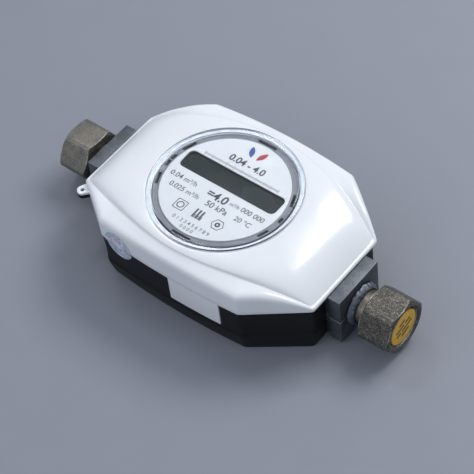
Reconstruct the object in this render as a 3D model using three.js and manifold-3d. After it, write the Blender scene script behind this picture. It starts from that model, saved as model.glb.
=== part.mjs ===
// Household ultrasonic gas meter with a round register window and two union nuts in line.
// Millimetres, +Z up. X runs along the pipe, from the inlet (-X) to the outlet (+X).
// The origin is on the surface that the meter stands on, under the middle of its housing.

import * as THREE from 'three';
import { mergeVertices } from 'three/addons/utils/BufferGeometryUtils.js';
import Module from 'manifold-3d';

const wasm = await Module();
wasm.setup();

// ---------------------------------------------------------------- driving dimensions

const GAP = 0.3;               // clearance between pieces that touch
const AXIS_Z = 20;             // height of the pipe axis

// housing outline: an octagon with long, slightly bowed sides
const END_X = 84;              // half length
const END_HALF_WIDTH = 29.8;   // half width of the two ends
const SIDE_X = 50;             // where a bowed side meets a diagonal
const SIDE_Y = 54.4;           // half width at those corners
const SIDE_BOW = 2.3;          // how far a side bulges outwards at its middle
const WALL = 2.2;
const CREASE_SIDE_X = 44;      // the groove stands here beside a side corner
const END_STEPS = 3;           // flat faces along half an end, a diagonal and half a side
const DIAGONAL_STEPS = 4;
const SIDE_STEPS = 4;

// cover
const COVER_SIDE_BOTTOM = 35.6;
const COVER_END_BOTTOM = 36.8;
const PILLOW_TOP = 57.8;       // the raised band that runs from end to end
const PILLOW_DROP = 20.3;      // how far the band falls from its middle to the ends
const PILLOW_POWER = 5;
const PILLOW_SHOULDER = { power: 5, root: 0.4 };      // roundness of the band across its width
const CREASE_END_X = 81.8;     // the groove beside the band, from its middle to an end corner
const CREASE_MID = { y: 49.6, z: 54.2 };
const CREASE_END = { y: 28.8, z: 39.3 };
const CREASE_POWER = { y: 1.77, z: 3.52 };
const WING_SIDE_Z = 51.3;      // height of the shelf outside the groove, at the side corners
const WING_END_Z = 39.4;
const WING_SWELL = 16.8;       // how far the shelf swells along a diagonal
const WING_CROWN = 1.5;        // and along a side
const SIDE_EDGE_RADIUS = 4;
const END_EDGE_RADIUS = 1.6;
const EDGE_SHARE = 0.29;       // the middle point of a rounded edge, as a share of its radius
const TAB = { x0: 0.3, x1: 35.9, bottom: 16.7, top: 38, thick: 1.9, inset: 0.5, steps: 6 };
const LUG = { x: -80.6, y: -36.2, radius: 3.3, hole: 1.2, rootX: -77.5, rootY: -31.6, rootRadius: 4 };
const COVER_LUG_Z = [36.9, 38.6];
const BASE_LUG_Z = [34, 36.2];
const COVER_POST = { radius: 4.2, hole: 1.9, bottom: 36.5, top: 50.5, depth: 46 };
const BOARD_POST = { radius: 2.8, hole: 1.5, top: 54.9, depth: 54 };

// base
const BASE_INSET = 0.7;
const BASE_LEDGE_Z = 13.5;
const BASE_FOOT_INSET = 3;
const FLOOR = 2.2;
const FOOT_CHAMFER = { inset: 0.8, z: 1.5 };
const PAD = { x: 60, halfLength: 12, halfWidth: 10, top: 3.7 };   // under the flow body
const BACKING = { margin: 3, y: [48.5, 55.5], top: 35 };          // wall behind a tongue
const COVER_SCREW_POST = { radius: 5.2, hole: 2.2, headRadius: 4, headTop: 5.4 };
const BASE_SCREW_POST = { radius: 5.5, hole: 1.9, headRadius: 3.6, headTop: 2 };
const HOUSING_GASKET = { outer: 3.2, inner: 4.8, z: [36.3, 37.7] };

// register
const LENS_RADIUS = 45.65;
const LENS_TOP = 58.8;
const LENS_BOTTOM = 57;
const LENS_EDGE = 0.9;
const LENS_SEAT_RADIUS = 46;
const LENS_SEAT_Z = 55.8;
const OPENING_RADIUS = 42.6;
const DIAL_RADIUS = 38.1;
const DIAL_TOP = 56.7;
const DIAL_THICK = 0.8;
const LENS_GASKET = [43.2, 45.2];
const REGISTER_RING = { inner: 36, outer: 41.9, bottom: 53, drop: 0.4 };
const WINDOW = { x: 34.6, y0: -0.6, y1: 13.2, corner: 3.4 };
const LCD = { x: 36.4, y0: -3, y1: 15.4, z0: 52.8, z1: 55.2 };
const BOARD = { x: 46, y: 36, cut: 12, z0: 48.3, z1: 49.9 };
const LCD_FRAME_WIDTH = 3;
const BOARD_SCREW = { x: 40.5, y: 28 };
const BOARD_HOLE = 1.7;
const BOARD_PARTS = [          // low corner and the two far sides of what hangs under the board
  { x: [-8, 8], y: [16, 28], z: 46.2 },
  { x: [12, 24], y: [-30, -24], z: 45.4 },
  { x: [-24, -12], y: [-30, -24], z: 45.4 },
];

// flow body: two half shells and a flat gasket between them
const BLOCK_HALF_WIDTH = 17;
const BLOCK_Z = [4, 36];
const PLATE_X = [84.6, 92.7];
const PLATE_HALF = 18;
const BODY_GASKET_THICK = 0.5;
const DUCT_RADIUS = 9.5;
const CHAMBER = { x: 60, y: 9, z: 10.5 };
const BODY_BOLT = { x: 66, y: 13.3 };
const BASE_SCREW = { x: 45, y: 13 };
const COVER_SCREW = { x: 43, y: 43.5 };
const SENSOR_BOSS = { x: [12, 44], halfWidth: 11, height: 6 };
const BOLT_HOLE = { radius: 2.2, bottom: 9 };
const BASE_SCREW_HOLE = { radius: 1.8, top: 12 };
const PROBE_HOLE = 2.5;
const STRAIGHTENER = { x: [74, 82], passage: 2.5, circle: 6 };

// screws: head radius and height, shank radius and length, height of the head's outer face
const SCREWS = {
  cover_screw: { at: COVER_SCREW, headZ: 2.6, head: [3.6, 2.4], shank: [1.6, 38], up: 1 },
  base_screw: { at: BASE_SCREW, headZ: 0.4, head: [3.2, 1.3], shank: [1.5, 8], up: 1 },
  body_bolt: { at: BODY_BOLT, headZ: 39.5, head: [3.2, 3.2], shank: [1.9, 26], up: -1 },
  board_screw: { at: BOARD_SCREW, headZ: 46, head: [2.6, 2], shank: [1.2, 5], up: 1 },
};
const SCREW_RECESS = { share: 0.45, depth: 0.6 };
const SCREW_TIP = 0.8;

// ultrasonic transducers, tilted towards each other over the duct
const SENSOR = { x: 22, radius: 7.5, length: 14, tilt: Math.PI / 4 };
const SENSOR_NOSE = { step: 1.4, length: 6 };
const SENSOR_PIN = { radius: 2.5, length: 1.5 };
const SENSOR_BORE = { clearance: 0.4, length: 40 };
const SENSOR_O_RING = { step: 1.1, z: [3.9, 5.7] };
const SENSOR_RETAINER = { step: 3.5, thick: 1.5 };
const SENSOR_RING_PROUD = 0.1; // the rings stand out from the transducer by this

// union connections, G 3/4
const NECK_RADIUS = 10.4;
const BORE_RADIUS = 8;
const COLLAR_RADIUS = 11.9;
const COLLAR_X = [108.6, 110.4];
const BEAD = { x: 97, radius: 14.6, toe: 1.8, throat: 1.6 };
const NUT_LENGTH = 20.6;
const NUT_ACROSS_FLATS = 32;
const NUT_BORE = 12.35;
const NUT_MOUTH = 13.9;
const NUT_BACK = 10.9;
const NUT_BACK_WALL = 3;
const NUT_FACE_STEP = 0.2;     // the round end face is this much inside the flats
const NUT_CHAMFER_SLOPE = 0.6;
const NUT_MOUTH_DEPTH = 1.6;
const WASHER_THICK = 1;
const SEAL_THICK = 1.5;
const PLUG_RADIUS = 11.5;
const PLUG_DEPTH = 3.4;
const PLUG_SET_BACK = 0.9;
const PLUG_RIM = { width: 1.2, step: 0.6, web: 1.4 };

// both ends: where the loose nut rests, and how far a corner stands from the top
const PORTS = [
  { port: 'inlet', side: -1, nutX: 99, turn: 28.8 },
  { port: 'outlet', side: 1, nutX: 103, turn: 35.7 },
];

const SMOOTH = 40;             // sides of a large round
const ROUND = 20;              // sides of a medium round
const INNER = 14;              // sides of a round piece inside
const SMALL = 8;               // sides of a screw

// ---------------------------------------------------------------- materials

function finish(color, roughness, metalness = 0) {
  return new THREE.MeshStandardMaterial({ color, roughness, metalness });
}

const WHITE_PLASTIC = finish(0xe6eaf2, 0.22);
const BLACK_PLASTIC = finish(0x15171b, 0.5);
const CLEAR_PLASTIC = finish(0xdfe6ec, 0.08);
const GREY_PLASTIC = finish(0x84868f, 0.5);
const DIAL_WHITE = finish(0xe0e3e8, 0.6);
const LCD_GLASS = finish(0x384242, 0.15);
const BOARD_GREEN = finish(0x1f5a3a, 0.5);
const BODY_STEEL = finish(0x6e7278, 0.45, 0.9);
const WELD_STEEL = finish(0x6b727c, 0.5, 0.9);
const NUT_STEEL = finish(0x8a847a, 0.4, 0.9);
const BRASS = finish(0x9a7a4a, 0.4, 0.9);
const SCREW_STEEL = finish(0x9fa3a8, 0.35, 1);
const RUBBER = finish(0x1c1c1e, 0.85);
const SILICONE = finish(0xc9ced6, 0.6);
const FIBRE = finish(0x3c4a40, 0.9);
const PLUG_YELLOW = finish(0xe0b233, 0.5);
const FOIL = finish(0xb7c4e0, 0.25, 0.5);
const BATTERY_SLEEVE = finish(0x2f4f8f, 0.4);
const LEAD = finish(0x8c1f1f, 0.6);

// ---------------------------------------------------------------- solids

const group = new THREE.Group();

function signedVolume(geometry) {
  const p = geometry.attributes.position;
  const [a, b, c] = [new THREE.Vector3(), new THREE.Vector3(), new THREE.Vector3()];
  let sum = 0;
  for (let i = 0; i < geometry.index.count; i += 3) {
    a.fromBufferAttribute(p, geometry.index.getX(i));
    b.fromBufferAttribute(p, geometry.index.getX(i + 1));
    c.fromBufferAttribute(p, geometry.index.getX(i + 2));
    sum += a.dot(b.cross(c));
  }
  return sum / 6;
}

function toSolid(geometry) {
  const bare = geometry.clone();
  bare.deleteAttribute('normal');
  bare.deleteAttribute('uv');
  const merged = mergeVertices(bare, 1e-4);
  const triVerts = new Uint32Array(merged.index.array);
  if (signedVolume(merged) < 0) {
    for (let i = 0; i < triVerts.length; i += 3) {
      [triVerts[i], triVerts[i + 1]] = [triVerts[i + 1], triVerts[i]];
    }
  }
  const vertProperties = new Float32Array(merged.attributes.position.array);
  return new wasm.Manifold(new wasm.Mesh({ numProp: 3, vertProperties, triVerts }));
}

function addPart(name, solid, material) {
  const made = solid.getMesh();
  const geometry = new THREE.BufferGeometry();
  geometry.setAttribute('position', new THREE.BufferAttribute(made.vertProperties, 3));
  geometry.setIndex(new THREE.BufferAttribute(made.triVerts, 1));
  geometry.computeVertexNormals();
  const mesh = new THREE.Mesh(geometry, material);
  mesh.name = name;
  group.add(mesh);
  return mesh;
}

function box(low, high) {
  const size = high.map((v, i) => v - low[i]);
  const geometry = new THREE.BoxGeometry(...size);
  geometry.translate(...low.map((v, i) => v + size[i] / 2));
  return toSolid(geometry);
}

function rodZ(radius, z0, z1, x = 0, y = 0, sides = ROUND) {
  const geometry = new THREE.CylinderGeometry(radius, radius, z1 - z0, sides);
  geometry.rotateX(Math.PI / 2);
  geometry.translate(x, y, (z0 + z1) / 2);
  return toSolid(geometry);
}

// turned about Z: [radius, height] points, from axis to axis or closed on themselves
function turnedZ(profile, sides = ROUND) {
  const geometry = new THREE.LatheGeometry(profile.map(([r, h]) => new THREE.Vector2(r, h)), sides);
  geometry.rotateX(Math.PI / 2);
  return toSolid(geometry);
}

function ringZ(inner, outer, z0, z1, sides = ROUND) {
  return turnedZ([[inner, z0], [outer, z0], [outer, z1], [inner, z1], [inner, z0]], sides);
}

// turned about the pipe axis: [radius, distance from the middle]; side is 1 or -1
function turnedX(profile, side, sides = ROUND) {
  const geometry = new THREE.LatheGeometry(profile.map(([r, h]) => new THREE.Vector2(r, h)), sides);
  geometry.rotateZ(-side * Math.PI / 2);
  geometry.translate(0, 0, AXIS_Z);
  return toSolid(geometry);
}

function ringX(inner, outer, x0, x1, side, sides = ROUND) {
  return turnedX([[inner, x0], [outer, x0], [outer, x1], [inner, x1], [inner, x0]], side, sides);
}

// a plan outline raised from z0 to z1
function raised(shape, z0, z1, curveSegments = 8) {
  const settings = { depth: z1 - z0, bevelEnabled: false, curveSegments };
  const geometry = new THREE.ExtrudeGeometry(shape, settings);
  geometry.translate(0, 0, z0);
  return toSolid(geometry);
}

function roundedRectangle(x0, y0, x1, y1, r) {
  const shape = new THREE.Shape();
  shape.moveTo(x0 + r, y0);
  shape.lineTo(x1 - r, y0);
  shape.absarc(x1 - r, y0 + r, r, -Math.PI / 2, 0);
  shape.lineTo(x1, y1 - r);
  shape.absarc(x1 - r, y1 - r, r, 0, Math.PI / 2);
  shape.lineTo(x0 + r, y1);
  shape.absarc(x0 + r, y1 - r, r, Math.PI / 2, Math.PI);
  shape.lineTo(x0, y0 + r);
  shape.absarc(x0 + r, y0 + r, r, Math.PI, Math.PI * 1.5);
  return shape;
}

function pathTube(points, radius) {
  const shape = new THREE.Shape();
  shape.absarc(0, 0, radius, 0, Math.PI * 2);
  const curve = new THREE.CatmullRomCurve3(points.map((p) => new THREE.Vector3(...p)));
  const settings = { steps: 2 * points.length, curveSegments: 4, extrudePath: curve };
  return toSolid(new THREE.ExtrudeGeometry(shape, settings));
}

// rings of equal length, stacked and closed at both ends by a fan
function capped(rings) {
  const count = rings[0].length;
  const position = rings.flat().flatMap((p) => [p.x, p.y, p.z]);
  const index = [];
  for (let r = 0; r + 1 < rings.length; r += 1) {
    for (let i = 0; i < count; i += 1) {
      const [a, b] = [r * count + i, r * count + (i + 1) % count];
      index.push(a, b, a + count, b, b + count, a + count);
    }
  }
  for (const first of [0, (rings.length - 1) * count]) {
    const middle = position.length / 3;
    const height = rings[first / count].reduce((sum, p) => sum + p.z, 0) / count;
    position.push(0, 0, height);
    for (let i = 0; i < count; i += 1) {
      const [a, b] = [first + i, first + (i + 1) % count];
      index.push(...(first === 0 ? [middle, b, a] : [middle, a, b]));
    }
  }
  const geometry = new THREE.BufferGeometry();
  geometry.setAttribute('position', new THREE.Float32BufferAttribute(position, 3));
  geometry.setIndex(index);
  return toSolid(geometry);
}

// ---------------------------------------------------------------- housing outline

const lerp = THREE.MathUtils.lerp;

function sideY(x) {
  return SIDE_Y + SIDE_BOW * (1 - (x / SIDE_X) ** 2);
}

function creaseAt(x) {
  const t = Math.abs(x) / CREASE_END_X;
  return {
    x,
    y: CREASE_END.y + (CREASE_MID.y - CREASE_END.y) * (1 - t ** CREASE_POWER.y),
    z: CREASE_END.z + (CREASE_MID.z - CREASE_END.z) * (1 - t ** CREASE_POWER.z),
  };
}

// top of the raised band at a plan point
function bandZ(x, y) {
  const ridge = PILLOW_TOP - PILLOW_DROP * (Math.abs(x) / END_X) ** PILLOW_POWER;
  const crease = creaseAt(Math.min(Math.abs(x), CREASE_END_X));
  const t = Math.min(1, Math.abs(y) / crease.y);
  const { power, root } = PILLOW_SHOULDER;
  return crease.z + Math.max(0, ridge - crease.z) * (1 - t ** power) ** root;
}

// one quarter of the outline, from the middle of an end to the middle of a side
function quarterOutline() {
  const stations = [];
  for (let i = 0; i < END_STEPS; i += 1) {
    const y = END_HALF_WIDTH * i / END_STEPS;
    stations.push({
      x: END_X, y, crease: { x: CREASE_END_X, y: CREASE_END.y * i / END_STEPS },
      wing: WING_END_Z, edge: END_EDGE_RADIUS, bottom: COVER_END_BOTTOM,
    });
  }
  for (let i = 0; i < DIAGONAL_STEPS; i += 1) {
    const t = i / DIAGONAL_STEPS;
    stations.push({
      x: lerp(END_X, SIDE_X, t), y: lerp(END_HALF_WIDTH, SIDE_Y, t),
      crease: creaseAt(lerp(CREASE_END_X, CREASE_SIDE_X, t)),
      wing: lerp(WING_END_Z, WING_SIDE_Z, t) + WING_SWELL * t * (1 - t),
      edge: lerp(END_EDGE_RADIUS, SIDE_EDGE_RADIUS, Math.min(1, 2 * t)),
      bottom: lerp(COVER_END_BOTTOM, COVER_SIDE_BOTTOM, t),
    });
  }
  for (let i = 0; i <= SIDE_STEPS; i += 1) {
    const x = SIDE_X * (1 - i / SIDE_STEPS);
    stations.push({
      x, y: sideY(x), crease: creaseAt(x * CREASE_SIDE_X / SIDE_X),
      wing: WING_SIDE_Z + WING_CROWN * (1 - (x / SIDE_X) ** 2),
      edge: SIDE_EDGE_RADIUS, bottom: COVER_SIDE_BOTTOM,
    });
  }
  return stations;
}

function turnStations(stations, sx, sy) {
  return stations.map((s) => ({
    ...s, x: s.x * sx, y: s.y * sy, crease: { ...s.crease, x: s.crease.x * sx, y: s.crease.y * sy },
  }));
}

const QUARTER = quarterOutline();
const BACKWARDS = [...QUARTER].reverse();
const OUTLINE = [
  ...QUARTER.slice(0, -1),
  ...turnStations(BACKWARDS.slice(0, -1), -1, 1),
  ...turnStations(QUARTER.slice(0, -1), -1, -1),
  ...turnStations(BACKWARDS.slice(0, -1), 1, -1),
];

// the outline moved inwards by a distance, square to its edges
function insetOutline(distance) {
  const amount = typeof distance === 'function' ? distance : () => distance;
  return OUTLINE.map((s, i) => {
    const before = OUTLINE[(i + OUTLINE.length - 1) % OUTLINE.length];
    const after = OUTLINE[(i + 1) % OUTLINE.length];
    const n1 = new THREE.Vector2(s.y - before.y, before.x - s.x).normalize();
    const n2 = new THREE.Vector2(after.y - s.y, s.x - after.x).normalize();
    const mitre = n1.clone().add(n2).multiplyScalar(amount(s) / (1 + n1.dot(n2)));
    return { x: s.x - mitre.x, y: s.y - mitre.y };
  });
}

function outlineRing(distance, height) {
  return insetOutline(distance).map((p, i) => ({ ...p, z: height(OUTLINE[i]) }));
}

// ---------------------------------------------------------------- top cover

function bandRing(share, drop) {
  return OUTLINE.map((s) => {
    const angle = Math.atan2(s.y, s.x);
    const rim = { x: LENS_SEAT_RADIUS * Math.cos(angle), y: LENS_SEAT_RADIUS * Math.sin(angle) };
    const x = lerp(rim.x, s.crease.x, share);
    const y = lerp(rim.y, s.crease.y, share);
    return { x, y, z: bandZ(x, y) - drop };
  });
}

function coverDome() {
  return capped([
    outlineRing(0, (s) => s.bottom),
    outlineRing(0, (s) => s.wing - s.edge),
    outlineRing((s) => EDGE_SHARE * s.edge, (s) => s.wing - EDGE_SHARE * s.edge),
    outlineRing((s) => s.edge, (s) => s.wing),
    bandRing(1, 0),
    bandRing(0.9, 0),
    bandRing(0.5, 0),
    bandRing(0, 0),
  ]);
}

function coverCavity() {
  return capped([
    outlineRing(WALL, () => COVER_SIDE_BOTTOM - 5.6),
    outlineRing(WALL, (s) => s.wing - s.edge - WALL),
    outlineRing((s) => WALL + s.edge, (s) => s.wing - WALL),
    bandRing(1, WALL),
    bandRing(0.5, WALL),
    bandRing(0, WALL),
  ]);
}

// the two tongues that hang from the cover's sides over the base
function coverTab(side, grow = 0) {
  const { steps } = TAB;
  const x0 = TAB.x0 - grow;
  const x1 = TAB.x1 + grow;
  const shape = new THREE.Shape();
  for (let i = 0; i <= steps; i += 1) {
    const x = lerp(x0, x1, i / steps);
    const y = sideY(x) - TAB.inset + (grow ? 5 : 0);
    shape[i ? 'lineTo' : 'moveTo'](x, y);
  }
  for (let i = steps; i >= 0; i -= 1) {
    const x = lerp(x0, x1, i / steps);
    shape.lineTo(x, sideY(x) - TAB.inset - TAB.thick - grow);
  }
  const tongue = raised(shape, TAB.bottom - grow, TAB.top);
  return side > 0 ? tongue : tongue.mirror([0, 1, 0]);
}

function sealingLug(z0, z1) {
  const shape = new THREE.Shape();
  const along = Math.atan2(LUG.rootY - LUG.y, LUG.rootX - LUG.x) + Math.PI / 2;
  shape.absarc(LUG.x, LUG.y, LUG.radius, along, along + Math.PI);
  shape.absarc(LUG.rootX, LUG.rootY, LUG.rootRadius, along + Math.PI, along + Math.PI * 2);
  return raised(shape, z0, z1).subtract(rodZ(LUG.hole, z0 - 1, z1 + 1, LUG.x, LUG.y, SMALL));
}

const CORNERS = [[1, 1], [-1, 1], [-1, -1], [1, -1]];

function makeCover() {
  let cover = coverDome().add(sealingLug(...COVER_LUG_Z)).subtract(coverCavity());
  cover = cover.add(coverTab(1)).add(coverTab(-1));
  for (const [sx, sy] of CORNERS) {
    const [x, y] = [sx * COVER_SCREW.x, sy * COVER_SCREW.y];
    cover = cover.add(rodZ(COVER_POST.radius, COVER_POST.bottom, COVER_POST.top, x, y, SMALL));
    cover = cover.subtract(rodZ(COVER_POST.hole, COVER_POST.bottom - 6.5, COVER_POST.depth, x, y, SMALL));
    const [u, v] = [sx * BOARD_SCREW.x, sy * BOARD_SCREW.y];
    cover = cover.add(rodZ(BOARD_POST.radius, BOARD.z1 + GAP, BOARD_POST.top, u, v, SMALL));
    cover = cover.subtract(rodZ(BOARD_POST.hole, BOARD.z1 - 1, BOARD_POST.depth, u, v, SMALL));
  }
  cover = cover.subtract(rodZ(LENS_SEAT_RADIUS, LENS_SEAT_Z, 70, 0, 0, SMOOTH));
  return cover.subtract(rodZ(OPENING_RADIUS, 40, 70, 0, 0, SMOOTH));
}

addPart('top_cover', makeCover(), WHITE_PLASTIC);

// ---------------------------------------------------------------- base

function makeBase() {
  const top = (s) => s.bottom - GAP;
  let base = capped([
    outlineRing(BASE_INSET + BASE_FOOT_INSET, () => 0),
    outlineRing(BASE_INSET + BASE_FOOT_INSET - FOOT_CHAMFER.inset, () => FOOT_CHAMFER.z),
    outlineRing(BASE_INSET, () => BASE_LEDGE_Z),
    outlineRing(BASE_INSET, top),
  ]);
  base = base.subtract(capped([
    outlineRing(BASE_INSET + BASE_FOOT_INSET + WALL, () => FLOOR),
    outlineRing(BASE_INSET + WALL, () => BASE_LEDGE_Z),
    outlineRing(BASE_INSET + WALL, () => 50),
  ]));
  for (const side of [1, -1]) {
    const { margin, y: [near, far], top: backingTop } = BACKING;
    const [y0, y1] = side > 0 ? [near, far] : [-far, -near];
    const backing = box([TAB.x0 - margin, y0, 1], [TAB.x1 + margin, y1, backingTop]);
    base = base.add(backing.intersect(capped([
      outlineRing(BASE_INSET + BASE_FOOT_INSET, () => 0.5),
      outlineRing(BASE_INSET + 0.1, () => BASE_LEDGE_Z),
      outlineRing(BASE_INSET + 0.1, () => backingTop),
    ])));
    base = base.subtract(coverTab(side, GAP));
    const [x0, x1] = side > 0 ? [END_X - 8, END_X + 6] : [-END_X - 6, 8 - END_X];
    const notch = BLOCK_HALF_WIDTH + GAP;
    base = base.subtract(box([x0, -notch, BLOCK_Z[0] - GAP], [x1, notch, 60]));
    const { x, halfLength, halfWidth, top: padTop } = PAD;
    base = base.add(box([side * x - halfLength, -halfWidth, 1], [side * x + halfLength, halfWidth, padTop]));
  }
  base = base.add(sealingLug(...BASE_LUG_Z).subtract(capped([
    outlineRing(BASE_INSET + WALL, () => 20),
    outlineRing(BASE_INSET + WALL, () => 40),
  ])));
  for (const [sx, sy] of CORNERS) {
    const [x, y] = [sx * COVER_SCREW.x, sy * COVER_SCREW.y];
    const tall = COVER_SCREW_POST;
    base = base.add(rodZ(tall.radius, 1, COVER_POST.bottom - GAP, x, y, SMALL));
    base = base.subtract(rodZ(tall.headRadius, -1, tall.headTop, x, y, SMALL));
    base = base.subtract(rodZ(tall.hole, -1, 40, x, y, SMALL));
    const [u, v] = [sx * BASE_SCREW.x, sy * BASE_SCREW.y];
    const low = BASE_SCREW_POST;
    base = base.add(rodZ(low.radius, 1, PAD.top, u, v, SMALL));
    base = base.subtract(rodZ(low.headRadius, -1, low.headTop, u, v, SMALL));
    base = base.subtract(rodZ(low.hole, -1, 6, u, v, SMALL));
  }
  return base;
}

addPart('base_housing', makeBase(), BLACK_PLASTIC);

function stripRing(outer, inner, z0, z1) {
  const outside = capped([outlineRing(outer, () => z0), outlineRing(outer, () => z1)]);
  return outside.subtract(capped([outlineRing(inner, () => z0 - 1), outlineRing(inner, () => z1 + 1)]));
}

addPart('housing_gasket', stripRing(
  BASE_INSET + HOUSING_GASKET.outer, BASE_INSET + HOUSING_GASKET.inner, ...HOUSING_GASKET.z), RUBBER);

// ---------------------------------------------------------------- register

addPart('window_lens', turnedZ([
  [0, LENS_BOTTOM], [LENS_RADIUS, LENS_BOTTOM], [LENS_RADIUS, LENS_TOP - LENS_EDGE],
  [LENS_RADIUS - LENS_EDGE, LENS_TOP], [0, LENS_TOP],
], SMOOTH), CLEAR_PLASTIC);

addPart('lens_gasket', ringZ(...LENS_GASKET, LENS_SEAT_Z + GAP, LENS_BOTTOM - GAP, SMOOTH), SILICONE);

function makeRegisterRing() {
  const { inner, outer, bottom, drop } = REGISTER_RING;
  const step = DIAL_TOP - DIAL_THICK - GAP;
  const ring = turnedZ([
    [inner, bottom], [outer, bottom], [outer, DIAL_TOP - drop], [DIAL_RADIUS + GAP, DIAL_TOP - drop],
    [DIAL_RADIUS + GAP, step], [inner, step], [inner, bottom],
  ], SMOOTH);
  const opening = box([-LCD.x - GAP, LCD.y0 - GAP, 50], [LCD.x + GAP, LCD.y1 + GAP, 60]);
  return ring.subtract(opening.subtract(rodZ(DIAL_RADIUS + 0.1, step, 60, 0, 0, SMOOTH)));
}

addPart('register_ring', makeRegisterRing(), GREY_PLASTIC);

const windowShape = roundedRectangle(-WINDOW.x, WINDOW.y0, WINDOW.x, WINDOW.y1, WINDOW.corner);
addPart('dial_plate', rodZ(DIAL_RADIUS, DIAL_TOP - DIAL_THICK, DIAL_TOP, 0, 0, SMOOTH)
  .subtract(raised(windowShape, 50, 60)), DIAL_WHITE);

addPart('lcd_panel', box([-LCD.x, LCD.y0, LCD.z0], [LCD.x, LCD.y1, LCD.z1]), LCD_GLASS);
addPart('lcd_holder', box([-LCD.x, LCD.y0, BOARD.z1 + GAP], [LCD.x, LCD.y1, LCD.z0 - GAP])
  .subtract(box([-LCD.x + LCD_FRAME_WIDTH, LCD.y0 + LCD_FRAME_WIDTH, 40],
    [LCD.x - LCD_FRAME_WIDTH, LCD.y1 - LCD_FRAME_WIDTH, 60])), GREY_PLASTIC);

function makeBoard() {
  const { x, y, cut } = BOARD;
  const shape = new THREE.Shape();
  shape.moveTo(x, cut - y);
  shape.lineTo(x, y - cut);
  shape.lineTo(x - cut, y);
  shape.lineTo(cut - x, y);
  shape.lineTo(-x, y - cut);
  shape.lineTo(-x, cut - y);
  shape.lineTo(cut - x, -y);
  shape.lineTo(x - cut, -y);
  let board = raised(shape, BOARD.z0, BOARD.z1);
  for (const [sx, sy] of CORNERS) {
    board = board.subtract(rodZ(BOARD_HOLE, 40, 60, sx * BOARD_SCREW.x, sy * BOARD_SCREW.y, SMALL));
  }
  for (const part of BOARD_PARTS) {
    board = board.add(box([part.x[0], part.y[0], part.z], [part.x[1], part.y[1], BOARD.z0 + 0.1]));
  }
  return board;
}

addPart('main_board', makeBoard(), BOARD_GREEN);

// ---------------------------------------------------------------- screws

// a screw whose head is at the bottom (up is 1) or at the top (up is -1) of its shank
function makeScrew(x, y, { headZ, head, shank, up }) {
  const [headRadius, headHeight] = head;
  const [shankRadius, shankLength] = shank;
  const shoulder = headZ + up * headHeight;
  const tip = shoulder + up * shankLength;
  const recess = headRadius * SCREW_RECESS.share;
  const screw = turnedZ([
    [0, headZ + up * SCREW_RECESS.depth], [recess, headZ + up * SCREW_RECESS.depth], [recess, headZ],
    [headRadius, headZ], [headRadius, shoulder], [shankRadius, shoulder],
    [shankRadius, tip - up * SCREW_TIP], [0, tip],
  ], SMALL);
  return screw.translate([x, y, 0]);
}

CORNERS.forEach(([sx, sy], i) => {
  for (const [kind, screw] of Object.entries(SCREWS)) {
    addPart(`${kind}_${i + 1}`, makeScrew(sx * screw.at.x, sy * screw.at.y, screw), SCREW_STEEL);
  }
});

// ---------------------------------------------------------------- flow body

// an axis that leans outwards from the duct, through one transducer
function tilted(solid, side) {
  const turned = solid.rotate([0, side * THREE.MathUtils.radToDeg(SENSOR.tilt), 0]);
  return turned.translate([side * SENSOR.x, 0, AXIS_Z + CHAMBER.z]);
}

function bodyBlank() {
  let body = box([-PLATE_X[0] - 0.1, -BLOCK_HALF_WIDTH, BLOCK_Z[0]],
    [PLATE_X[0] + 0.1, BLOCK_HALF_WIDTH, BLOCK_Z[1]]);
  for (const side of [1, -1]) {
    const x = [side * PLATE_X[0], side * PLATE_X[1]].sort((a, b) => a - b);
    body = body.add(box([x[0], -PLATE_HALF, AXIS_Z - PLATE_HALF], [x[1], PLATE_HALF, AXIS_Z + PLATE_HALF]));
    const boss = SENSOR_BOSS.x.map((v) => side * v).sort((a, b) => a - b);
    body = body.add(box([boss[0], -SENSOR_BOSS.halfWidth, BLOCK_Z[1] - 1],
      [boss[1], SENSOR_BOSS.halfWidth, BLOCK_Z[1] + SENSOR_BOSS.height]));
  }
  body = body.subtract(turnedX([[0, -100], [DUCT_RADIUS, -100], [DUCT_RADIUS, 100], [0, 100]], 1));
  body = body.subtract(box([-CHAMBER.x, -CHAMBER.y, AXIS_Z - CHAMBER.z],
    [CHAMBER.x, CHAMBER.y, AXIS_Z + CHAMBER.z]));
  for (const side of [1, -1]) {
    body = body.subtract(tilted(rodZ(SENSOR.radius + SENSOR_BORE.clearance, -1, SENSOR_BORE.length), side));
  }
  for (const [sx, sy] of CORNERS) {
    const [x, y] = [sx * BODY_BOLT.x, sy * BODY_BOLT.y];
    body = body.subtract(rodZ(BOLT_HOLE.radius, BOLT_HOLE.bottom, 50, x, y, SMALL));
    const [u, v] = [sx * BASE_SCREW.x, sy * BASE_SCREW.y];
    body = body.subtract(rodZ(BASE_SCREW_HOLE.radius, 0, BASE_SCREW_HOLE.top, u, v, SMALL));
  }
  return body.subtract(rodZ(PROBE_HOLE, AXIS_Z, 60, 0, 0, SMALL));
}

const BODY = bodyBlank();
const SEAM = BODY_GASKET_THICK / 2;
const WIDE = 200;

function bodySlice(z0, z1, y0 = -WIDE, y1 = WIDE) {
  return BODY.intersect(box([-WIDE, y0, z0], [WIDE, y1, z1]));
}

addPart('flow_body_lower', bodySlice(-WIDE, AXIS_Z - SEAM - GAP), BODY_STEEL);
addPart('flow_body_gasket_front', bodySlice(AXIS_Z - SEAM, AXIS_Z + SEAM, -WIDE, 0), FIBRE);
addPart('flow_body_gasket_back', bodySlice(AXIS_Z - SEAM, AXIS_Z + SEAM, 0, WIDE), FIBRE);
addPart('flow_body_upper', bodySlice(AXIS_Z + SEAM + GAP, WIDE), BODY_STEEL);

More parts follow.
